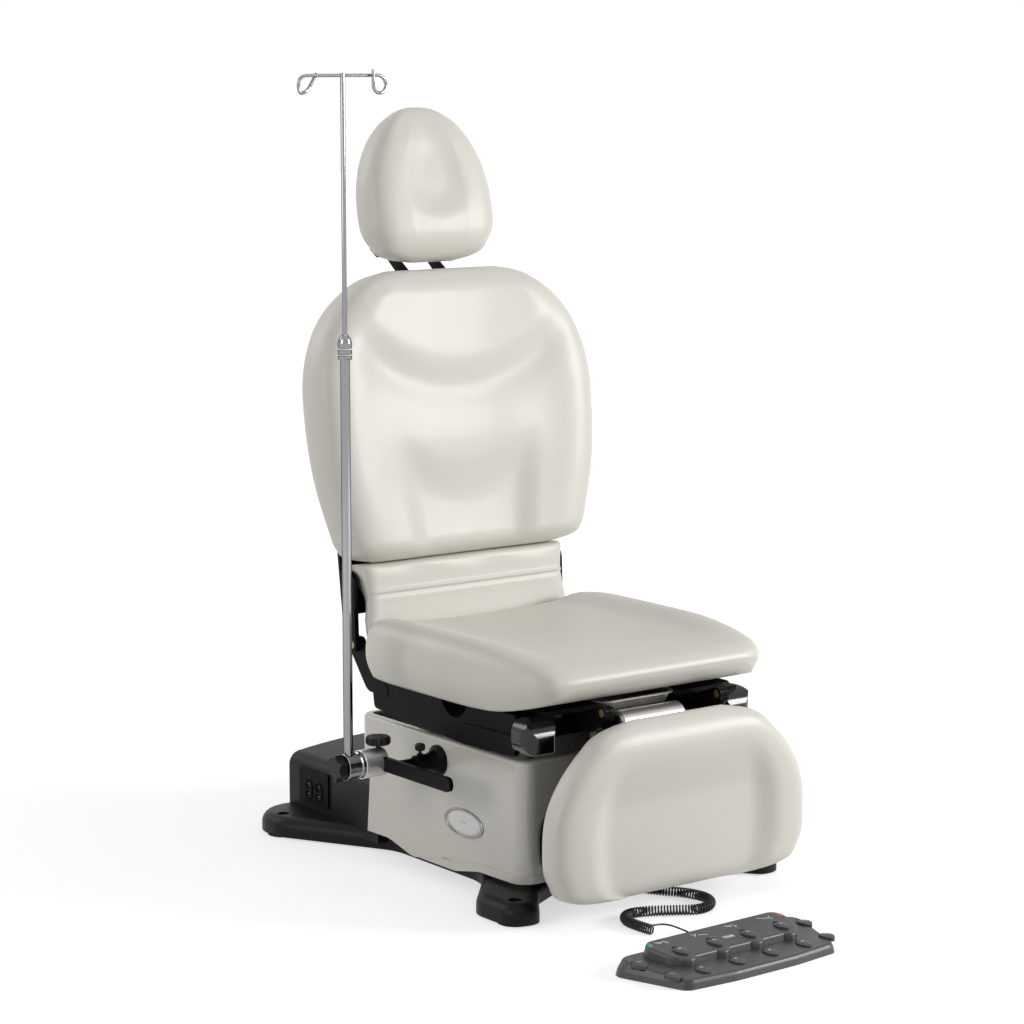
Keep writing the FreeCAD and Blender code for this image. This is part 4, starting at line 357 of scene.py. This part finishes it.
def pad_points(span, noses, crest, rows, relief, place):
    """Grid of a pad in metres: sections of the span's (station, half width, thickness, dish, lift, droop), with
    relief(u over half width, share of the length) on the face and round noses; place sets (u, v, s) in the room."""
    span = np.array(sorted(span), float)
    low, high = span[0, 0], span[-1, 0]
    even = np.linspace(0, 1, rows)
    s = low + (high - low) * (0.7 * (0.5 - 0.5 * np.cos(math.pi * even)) + 0.3 * even)
    half, thick, dish, lift, droop = [curve_through(span[:, 0], span[:, k], s)[:, None] for k in range(1, 6)]
    u, v = pad_sections(half, thick, dish, droop, crest)
    share = ((s - low) / (high - low))[:, None]
    v = v + smooth_step(0.45, 0.95, v / thick) * relief(u / half, share)
    middle = 0.44 * thick
    v = middle + (v - middle) * nose(s, low, high, *noses)[:, None] + lift
    return np.stack(place(u, v, s[:, None] + 0 * u), -1) * MM


def upholster(name, node, span, noses, crest, rows, relief, place):
    """Pad as one closed piece in place of its CAD node."""
    points = pad_points(span, noses, crest, rows, relief, place)
    count, columns = points.shape[:2]
    faces = grid_faces(count, columns)
    faces += [list(range(columns))[::-1], list(range((count - 1) * columns, count * columns))]
    piece = make_piece(name, points, faces, body_of[node], vinyl)
    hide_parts(node)
    hold(piece, count, columns, count // 4)
    return piece


def hold(piece, rows, columns, ends):
    """Vertex group of the foam under the vinyl: it holds the skin half fast, and fast in the first and last rows, where
    the skin is stapled round the ends of the pad."""
    foam = piece.vertex_groups.new(name="foam")
    foam.add(range(rows * columns), 0.5, "REPLACE")
    foam.add(range(ends * columns), 1.0, "REPLACE")
    foam.add(range((rows - ends) * columns, rows * columns), 1.0, "REPLACE")


BACK_HINGE = (200, 440)
BACK_LEAN = 7.5
HEAD_PIVOT = (280, 1250)
HEAD_TILT = 4.5
# Planes on which the backs of the pads lie: Z of the seat, and Y of the others, the back and headrest upright.
SEAT_PLANE = 404
BACK_PLANE = 208
HEAD_PLANE = 233
LEG_PLANE = -491


def swing(y, z, about, degrees):
    """(y, z) turned about a point so that its top goes backwards."""
    c, s = math.cos(math.radians(degrees)), math.sin(math.radians(degrees))
    dy, dz = y - about[0], z - about[1]
    return about[0] + dy * c + dz * s, about[1] - dy * s + dz * c


def seat_place(u, v, s):
    """Seat: stations run along Y, the face looks up."""
    return u, s, SEAT_PLANE + v


def back_place(u, v, s):
    """Back: stations are heights when it stands upright; it leans by BACK_LEAN."""
    return u, *swing(BACK_PLANE - v, s, BACK_HINGE, BACK_LEAN)


def head_place(u, v, s):
    """Headrest: tilted by HEAD_TILT on its own pivot and leaned with the back."""
    return u, *swing(*swing(HEAD_PLANE - v, s, HEAD_PIVOT, HEAD_TILT), BACK_HINGE, BACK_LEAN)


def leg_place(u, v, s):
    """Leg rest: hangs straight down, face to the front."""
    return u, LEG_PLANE - v, s


def back_relief(u, s):
    """Millimetres on the back's face: a raised shoulder panel that ends in a U, a lumbar swell below it, and a hollow
    between two bolsters from under the swell to the foot."""
    edge = 0.63 + 0.3 * u ** 2
    sides = 1 - smooth_step(0.6, 0.95, np.abs(u))
    panel = 9 * smooth_step(-0.08, 0.08, s - edge) * sides * (1 - smooth_step(0.8, 1, s))
    valley = -6 * np.exp(-((s - edge + 0.05) / 0.07) ** 2) * (1 - smooth_step(0.5, 0.95, np.abs(u)))
    swell = 7 * np.exp(-((s - 0.42) / 0.13) ** 2) * (1 - smooth_step(0.3, 0.75, np.abs(u)))
    brim = 0.25 + 0.5 * u ** 2
    hollow = -12 * (1 - smooth_step(-0.08, 0.1, s - brim)) * (1 - smooth_step(0.36, 0.54, np.abs(u)))
    return panel + valley + swell + hollow


def head_relief(u, s):
    """Soft oval hollow for the head, steeper at its foot."""
    far = np.sqrt((u / 0.5) ** 2 + ((s - 0.5) / np.where(s < 0.5, 0.22, 0.4)) ** 2)
    return -9 * (1 - smooth_step(0.3, 1.2, far))


def leg_relief(u, s):
    """Flat panel between two bolsters, let in 19 mm, open at the foot and running out towards the top."""
    panel = 1 - smooth_step(0.56, 0.76, np.abs(u))
    return -19 * panel * (1 - smooth_step(0.5, 0.85, s))


def seat_relief(u, s):
    """Raised border round the sitting hollow; s runs from the front to the back."""
    front = 1 - smooth_step(0.08, 0.28, s)
    sides = smooth_step(0.6, 0.84, np.abs(u))
    return -8 * (1 - front) * (1 - sides)


SEAT_SPAN = [(138, 232, 92, 3, 4, 5), (126, 276, 98, 6, 2, 9), (95, 304, 105, 12, 0, 13), (-10, 312, 111, 20, 0, 14),
             (-150, 312, 111, 20, 0, 14), (-290, 308, 106, 16, 2, 14), (-395, 294, 78, 6, 18, 13),
             (-450, 270, 54, 2, 33, 11), (-468, 246, 44, 0, 39, 8), (-474, 216, 40, 0, 42, 5)]
BACK_SPAN = [(606, 228, 108, 8, 0, 0), (618, 280, 108, 8, 0, 0), (640, 301, 109, 12, 0, 0), (676, 314, 110, 16, 0, 0),
             (796, 343, 112, 22, 0, 0), (936, 352, 112, 22, 0, 0), (1036, 338, 107, 20, 1, 0),
             (1116, 296, 100, 16, 3, 0), (1168, 236, 94, 10, 5, 0), (1192, 190, 92, 6, 6, 0), (1203, 140, 90, 4, 7, 0)]
HEAD_SPAN = [(1212, 52, 80, 0, 6, 0), (1222, 104, 82, 0, 5, 0), (1255, 143, 90, 0, 2, 0), (1311, 159, 96, 0, 0, 0),
             (1381, 154, 94, 0, 1, 0), (1446, 131, 88, 0, 3, 0), (1499, 93, 82, 0, 5, 0), (1523, 62, 80, 0, 6, 0),
             (1535, 37, 80, 0, 6, 0), (1540, 14, 80, 0, 6, 0)]
LEG_SPAN = [(43, 190, 64, 0, 1, 0), (52, 254, 65, 0, 1, 0), (90, 304, 66, 1, 1, 0), (154, 318, 68, 2, 0, 0),
            (222, 312, 68, 2, 0, 0), (282, 284, 68, 1, 1, 0), (338, 233, 66, 0, 2, 0), (374, 182, 62, 0, 3, 0),
            (390, 112, 60, 0, 3, 0)]


def make_pads():
    """Seat, back, headrest and leg rest."""
    return [upholster("seat_cushion", "seat_pad", SEAT_SPAN, (40, 40), 62, 84, seat_relief, seat_place),
            upholster("back_cushion", "back_pad", BACK_SPAN, (46, 58), 70, 96, back_relief, back_place),
            upholster("headrest_cushion", "headrest_pad", HEAD_SPAN, (70, 90), 85, 72, head_relief, head_place),
            upholster("leg_cushion", "leg_pad", LEG_SPAN, (40, 60), 66, 84, leg_relief, leg_place)]


FLAP_LINE = [(205, 603), (175, 605), (156, 603), (148.5, 596), (147, 580), (147.5, 562), (147.5, 551), (145.5, 545),
             (148, 539), (146.5, 531), (147, 516), (147, 492), (146.5, 472), (146.5, 458), (149.5, 453), (154.5, 455),
             (157, 470), (158, 500), (160, 526), (170, 546), (192, 562), (207, 582)]
FLAP_HALF = 257
FLAP_WAIST = 7
FLAP_TURN = 8
FLAP_WAVE = 1.2
FLAP_HELD_ROWS = 6


def make_flap():
    """Flap below the back: a folded closed profile run across the chair, narrower in the middle of its height, with its
    ends turned back and slight waves along the top."""
    line = np.array(FLAP_LINE)
    y, z = (spline_weights(len(line), 96) @ line).T
    k = np.linspace(-1, 1, 61)[:, None]
    half = FLAP_HALF - FLAP_WAIST * np.sin(np.clip((z - 490) / 110, 0, 1) * math.pi)
    turn = FLAP_TURN * np.clip((np.abs(k) - 0.94) / 0.06, 0, 1) ** 2
    wave = FLAP_WAVE * np.sin(9 * k + 0.05 * z) * smooth_step(560, 610, z)
    lean_y, lean_z = swing(y + turn - wave, z + 0 * k, BACK_HINGE, BACK_LEAN)
    points = np.stack([k * half, lean_y, lean_z], -1) * MM
    rows, columns = points.shape[:2]
    faces = grid_faces(rows, columns)
    faces += [list(range(columns))[::-1], list(range((rows - 1) * columns, rows * columns))]
    piece = make_piece("back_flap_cushion", points, faces, "back", vinyl)
    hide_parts("back_flap")
    hold(piece, rows, columns, FLAP_HELD_ROWS)
    return piece


CLOTH_FRAMES = 16
CLOTH_REACH = 5


def settle(pieces):
    """Lets the vinyl of each piece relax over its foam: a short cloth run under a little inner pressure, held near its
    place by the foam. The settled points are kept, none farther than CLOTH_REACH from its start, and the cloth goes."""
    scene = bpy.context.scene
    scene.frame_start, scene.frame_end = 1, CLOTH_FRAMES
    for piece in pieces:
        cloth = piece.modifiers.new("vinyl", "CLOTH")
        cloth.settings.quality = 4
        cloth.settings.mass = 0.35
        cloth.settings.tension_stiffness = 20
        cloth.settings.compression_stiffness = 20
        cloth.settings.bending_stiffness = 6
        cloth.settings.vertex_group_mass = "foam"
        cloth.settings.pin_stiffness = 0.5
        cloth.settings.use_pressure = True
        cloth.settings.uniform_pressure_force = 4
        cloth.settings.effector_weights.gravity = 0.0
        cloth.point_cache.frame_start, cloth.point_cache.frame_end = 1, CLOTH_FRAMES
    for number in range(1, CLOTH_FRAMES + 1):
        scene.frame_set(number)
    graph = bpy.context.evaluated_depsgraph_get()
    for piece in pieces:
        relaxed = piece.evaluated_get(graph)
        start = np.zeros(len(piece.data.vertices) * 3)
        ended = np.zeros(len(piece.data.vertices) * 3)
        piece.data.vertices.foreach_get("co", start)
        relaxed.data.vertices.foreach_get("co", ended)
        move = (ended - start).reshape(-1, 3)
        far = np.linalg.norm(move, axis=1, keepdims=True)
        move = move * np.minimum(1, CLOTH_REACH * MM / np.maximum(far, 1e-9))
        piece.modifiers.clear()
        piece.vertex_groups.clear()
        piece.data.vertices.foreach_set("co", start + move.ravel())
        piece.data.update()
    scene.frame_set(1)


# Turned and printed details

RING_STEPS = 64


def turned_ring(name, profile, centre, ways, body, made):
    """Closed ring or boss: the closed profile's (radius, height) points swept round an axis; ways are the two radius
    directions and the axis, which may stretch it into an oval."""
    profile = np.array(profile, float)
    angle = np.linspace(0, 2 * math.pi, RING_STEPS, endpoint=False)[:, None]
    first, second, axis = [np.array(way, float) for way in ways]
    out = np.cos(angle)[..., None] * first + np.sin(angle)[..., None] * second
    points = np.array(centre, float) + profile[:, :1] * out + profile[:, 1:] * axis
    faces = grid_faces(RING_STEPS, len(profile), True)
    return make_piece(name, points * MM, faces, body, made)


def wall_at(node, place, way):
    """Point where a ray from place meets a CAD node, in millimetres."""
    hit, point, _, _ = nodes[node].ray_cast(Vector(place) * MM, Vector(way))
    return np.array(point) / MM


BADGE_AT = (-174, 137)
BADGE_HALF = (66, 29)
BADGE_RIM = [(0.86, 0.1), (0.87, 1.7), (0.9, 2.4), (0.95, 2.5), (0.985, 1.8), (1.0, 0.1)]
BADGE_FIELD = [(0.01, 0.1), (0.01, 1.3), (0.3, 1.3), (0.6, 1.2), (0.86, 1.0), (0.86, 0.1)]


def make_badge():
    """Bare oval badge on the left cover: a plated rim round a satin field, set square to the wall behind it, which is
    felt at its middle, 56 mm ahead and 23 mm above."""
    outside = -600
    y, z = BADGE_AT
    middle = wall_at("left_side_cover", (outside, y, z), (1, 0, 0))
    ahead = wall_at("left_side_cover", (outside, y - 56, z), (1, 0, 0))
    above = wall_at("left_side_cover", (outside, y, z + 23), (1, 0, 0))
    along = (ahead - middle) / np.linalg.norm(ahead - middle)
    rise = (above - middle) / np.linalg.norm(above - middle)
    out = np.cross(along, rise)
    out = out * np.sign(-out[0])
    ways = (along * BADGE_HALF[0], rise * BADGE_HALF[1], out)
    turned_ring("badge_rim", BADGE_RIM, middle, ways, "base", badge_silver)
    turned_ring("badge_plate", BADGE_FIELD, middle, ways, "base", badge_field)


POLE_AXIS = (-433, -25, 0)
LOCK_GROOVES = ((1067.8, 1070.2), (1078.8, 1082.2))


def make_lock_rings():
    """Two nylon rings in the grooves of the pole's lock collar."""
    ways = ((1, 0, 0), (0, 1, 0), (0, 0, 1))
    for number, (low, high) in enumerate(LOCK_GROOVES, 1):
        profile = [(12.6, low), (14.0, low), (14.3, (low + high) / 2), (14.0, high), (12.6, high)]
        turned_ring("lock_ring_%d" % number, profile, POLE_AXIS, ways, "pole_lock", nylon)


WELL_FLOOR_X = -243
SOCKETS = [(393 + dy, 86 + dz) for dy in (-19, 19) for dz in (-11, 11)]
SOCKET_FACE = [(0.05, -0.2), (0.05, 0.5), (8.0, 0.5), (8.6, 0.2), (8.6, -0.2)]
# Two blades and an earth pin: (Y, Z) from the socket's middle, half width and half height.
CONTACTS = ((-3.2, 1.4, 0.5, 2.2), (3.2, 1.4, 0.5, 1.9), (0, -3.8, 0.9, 0.9))
CONTACT_DEPTH = 0.9


def make_slots():
    """Four dark socket faces in the wells of the outlet panel, with their contacts as small steel blocks."""
    ways = ((0, 1, 0), (0, 0, 1), (-1, 0, 0))
    for number, (y, z) in enumerate(SOCKETS, 1):
        turned_ring("socket_face_%d" % number, SOCKET_FACE, (WELL_FLOOR_X, y, z), ways, "base", socket_black)
    corner = np.array([(a, b, c) for a in (0, 1) for b in (-1, 1) for c in (-1, 1)], float)
    spots = np.array([(y + dy, z + dz, wide, tall) for y, z in SOCKETS for dy, dz, wide, tall in CONTACTS])
    points = np.stack([WELL_FLOOR_X - CONTACT_DEPTH + CONTACT_DEPTH * corner[None, :, 0] + 0 * spots[:, :1],
                       spots[:, :1] + spots[:, 2:3] * corner[None, :, 1],
                       spots[:, 1:2] + spots[:, 3:4] * corner[None, :, 2]], -1) * MM
    block = np.array([(0, 1, 3, 2), (4, 6, 7, 5), (0, 4, 5, 1), (2, 3, 7, 6), (0, 2, 6, 4), (1, 5, 7, 3)])
    faces = (block[None] + 8 * np.arange(len(spots))[:, None, None]).reshape(-1, 4).tolist()
    make_piece("outlet_slots", points, faces, "base", steel)


PEDAL_AT = (-136, -930)
PEDAL_TURN = math.radians(1.7)
PRINT_FROM = 90
PRINT_GAP = 0.1
PRINT_THICK = 0.25


def pedal_point(x, y):
    """Place on the floor plan of (x, y) in the foot control's own frame."""
    c, s = math.cos(PEDAL_TURN), math.sin(PEDAL_TURN)
    return PEDAL_AT[0] + x * c - y * s, PEDAL_AT[1] + x * s + y * c


def printed(name, points, faces, node, made):
    """Thin print on top of a CAD node: flat outline points (x, y) of the foot control are dropped on it along Z from
    the height PRINT_FROM, and the sheet is given its thickness."""
    x, y = pedal_point(*np.array(points, float).T)
    piece = make_piece(name, np.stack([x, y, 0 * x + PRINT_FROM], 1) * MM, faces, body_of[node], made)
    drop = piece.modifiers.new("drop", "SHRINKWRAP")
    drop.target = nodes[node]
    drop.wrap_method = "PROJECT"
    drop.use_project_z = True
    drop.use_negative_direction = True
    drop.use_positive_direction = False
    drop.offset = PRINT_GAP * MM
    body = piece.modifiers.new("body", "SOLIDIFY")
    body.thickness = PRINT_THICK * MM
    body.offset = 1
    graph = bpy.context.evaluated_depsgraph_get()
    flat = piece.data
    piece.data = bpy.data.meshes.new_from_object(piece.evaluated_get(graph))
    piece.modifiers.clear()
    bpy.data.meshes.remove(flat)
    return piece


def disc(x, y, radius, rows=4, columns=20):
    """Points and faces of a flat disc made of rings."""
    ring = np.linspace(0.06, 1, rows)[:, None] * radius
    angle = np.linspace(0, 2 * math.pi, columns, endpoint=False)
    points = np.stack([x + ring * np.cos(angle), y + ring * np.sin(angle)], -1).reshape(-1, 2)
    return points, grid_faces(rows, columns) + [list(range(columns))[::-1]]


STROKE_STEPS = 4


def strokes(lines, width):
    """Points and faces of polylines drawn with a pen of a width: each stretch is a strip of its own, cut into steps so
    that it can follow a curved deck."""
    ends = np.array([(*a, *b) for line in lines for a, b in zip(line, line[1:])], float)
    start, end = ends[:, None, :2], ends[:, None, 2:]
    way = (end - start) / np.linalg.norm(end - start, axis=2, keepdims=True)
    aside = np.stack([-way[..., 1], way[..., 0]], -1) * width / 2
    share = np.linspace(0, 1, STROKE_STEPS + 1)[None, :, None]
    middle = start + (end - start) * share
    points = np.stack([middle - aside, middle + aside], 2).reshape(-1, 2)
    step = np.arange(STROKE_STEPS)
    quad = np.stack([2 * step, 2 * step + 2, 2 * step + 3, 2 * step + 1], 1)
    each = 2 * (STROKE_STEPS + 1)
    faces = (quad[None] + each * np.arange(len(ends))[:, None, None]).reshape(-1, 4).tolist()
    return points, faces


UP_ICONS = [[[(-17, 11), (-7, 8), (4, 8), (9, 2)], [(-15, 7), (-6, 4)], [(2, 4), (8, -2)]],
            [[(-15, 8), (-9, 2), (-12, -3)], [(-9, 2), (-3, 8)], [(-2, 1), (10, -1), (16, -5)]],
            [[(-15, 10), (-5, 7), (3, 7), (10, 1)], [(-12, 5), (-2, 3)], [(3, 3), (6, -4)]],
            [[(-17, 9), (-5, 3), (6, 1), (12, -6)], [(6, 1), (14, 6)]]]
ICON_AT = (-4, 124)
BUTTON_STEP = 84
CORNERS = ((-206, 108), (-192, 34), (206, 108), (192, 34))


def make_prints():
    """White arrows and posture signs, a green and a red mark and the little display of the foot control."""
    for index in range(4):
        x = (index - 1.5) * BUTTON_STEP
        arrow = np.array([(x - 4, 87), (x + 4, 87), (x, 94)])
        printed("print_up_%d" % (index + 1), arrow, [[0, 1, 2]], "up_button_%d" % (index + 1), white_print)
        arrow = np.array([(x - 3.6, 33), (x, 26), (x + 3.6, 33)])
        printed("print_down_%d" % (index + 1), arrow, [[0, 1, 2]], "down_button_%d" % (index + 1), white_print)
        lines = [[(x + a + ICON_AT[0], b + ICON_AT[1]) for a, b in line] for line in UP_ICONS[index]]
        printed("print_posture_%d" % (index + 1), *strokes(lines, 1.7), "pedal_cover", white_print)
    for number, (x, y) in enumerate(CORNERS, 1):
        lines = [[(x - 5, y + 3), (x + 1, y + 1), (x + 4, y - 4)]]
        printed("print_corner_%d" % number, *strokes(lines, 1.5), "corner_button_%d" % number, white_print)
    printed("print_green", *disc(-162, 132, 7), "pedal_cover", green_print)
    printed("print_red", *disc(160, 128, 7), "pedal_cover", red_print)
    printed("print_display", *strokes([[(-13, 96), (13, 96)]], 9), "pedal_cover", display_grey)


# Curly cord

WIRE = 3.6
CURL = 8.2
CURLS = 92
CURL_POINTS = 10
CORD_EXIT = (-4, -299, 20)
CURL_ROUTE = [(-2, -352), (8, -400), (30, -440), (60, -481), (73, -528), (52, -570), (8, -588), (-40, -558),
              (-86, -530), (-124, -524), (-151, -545), (-161, -585), (-155, -634)]
TAIL_ROUTE = [(-118, -634, 16), (-104, -668, 9), (-106, -712, 7), (-108, -742, 12), (-109, -761.5, 14)]


def nurbs(name, points):
    """Quadratic NURBS curve object on its control points, held at both ends; points are in metres."""
    data = bpy.data.curves.new(name, "CURVE")
    data.dimensions = "3D"
    line = data.splines.new("NURBS")
    line.points.add(len(points) - 1)
    line.points.foreach_set("co", np.column_stack([points, np.ones(len(points))]).ravel())
    line.order_u = 3
    line.use_endpoint_u = True
    made = bpy.data.objects.new(name, data)
    bpy.context.scene.collection.objects.link(made)
    return made


def line_points(curve):
    """Points along a curve as it is drawn, in metres."""
    curve.data.resolution_u = 24
    graph = bpy.context.evaluated_depsgraph_get()
    drawn = curve.evaluated_get(graph).to_mesh()
    points = np.zeros(len(drawn.vertices) * 3)
    drawn.vertices.foreach_get("co", points)
    curve.evaluated_get(graph).to_mesh_clear()
    return points.reshape(-1, 3)


def curl_points(route):
    """Helix round the route at its height over the floor: CURL_POINTS a curl, on top at both ends. Its control polygon
    is drawn wider than the curls, because the curve runs inside it."""
    length = np.concatenate([[0], np.cumsum(np.linalg.norm(np.diff(route, axis=0), axis=1))])
    share = np.linspace(0, 1, CURL_POINTS * CURLS + 1)
    centre = np.stack([np.interp(share * length[-1], length, route[:, k]) for k in range(3)], 1)
    way = np.gradient(centre, axis=0)
    way /= np.linalg.norm(way, axis=1)[:, None]
    left = np.stack([-way[:, 1], way[:, 0], np.zeros(len(way))], 1)
    angle = math.pi / 2 - 2 * math.pi * CURLS * share
    wide = CURL * MM / math.cos(math.pi / CURL_POINTS) ** 2
    return centre + wide * (left * np.cos(angle)[:, None] + np.array([0, 0, 1]) * np.sin(angle)[:, None])


def make_cord():
    """One cord: straight out of the casting, curled over the floor, then a plain tail into the foot control."""
    height = CURL + WIRE / 2 + 0.4
    route = nurbs("curl_route", np.array([(x, y, height) for x, y in CURL_ROUTE]) * MM)
    curls = curl_points(line_points(route))
    bpy.data.objects.remove(route)
    start = np.array(CORD_EXIT) * MM
    lead = [start, start - [0, 12 * MM, 0], start - [4 * MM, 26 * MM, 0]]
    tail = [np.array(p) * MM for p in TAIL_ROUTE]
    cord = nurbs("foot_control_cord", np.array([*lead, *curls, *tail]))
    length = float(np.linalg.norm(np.diff(line_points(cord), axis=0), axis=1).sum())
    cord.data.bevel_depth = WIRE / 2 * MM
    cord.data.bevel_resolution = 3
    cord.data.resolution_u = 4
    cord.data.materials.append(cord_jacket)
    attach(cord, "base")
    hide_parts("control_cord")


# Floor

def make_floor():
    """Plain white floor."""
    size = 30
    data = bpy.data.meshes.new("floor")
    data.from_pydata([(-size, -size, 0), (size, -size, 0), (size, size, 0), (-size, size, 0)], [], [(0, 1, 2, 3)])
    data.materials.append(floor_finish())
    floor = bpy.data.objects.new("floor", data)
    bpy.context.scene.collection.objects.link(floor)


place_camera()
light_studio()
make_floor()
dress_nodes()
make_cord()
soft = make_pads() + [make_flap()]
settle(soft)
bpy.context.view_layer.update()
make_badge()
make_lock_rings()
make_slots()
make_prints()
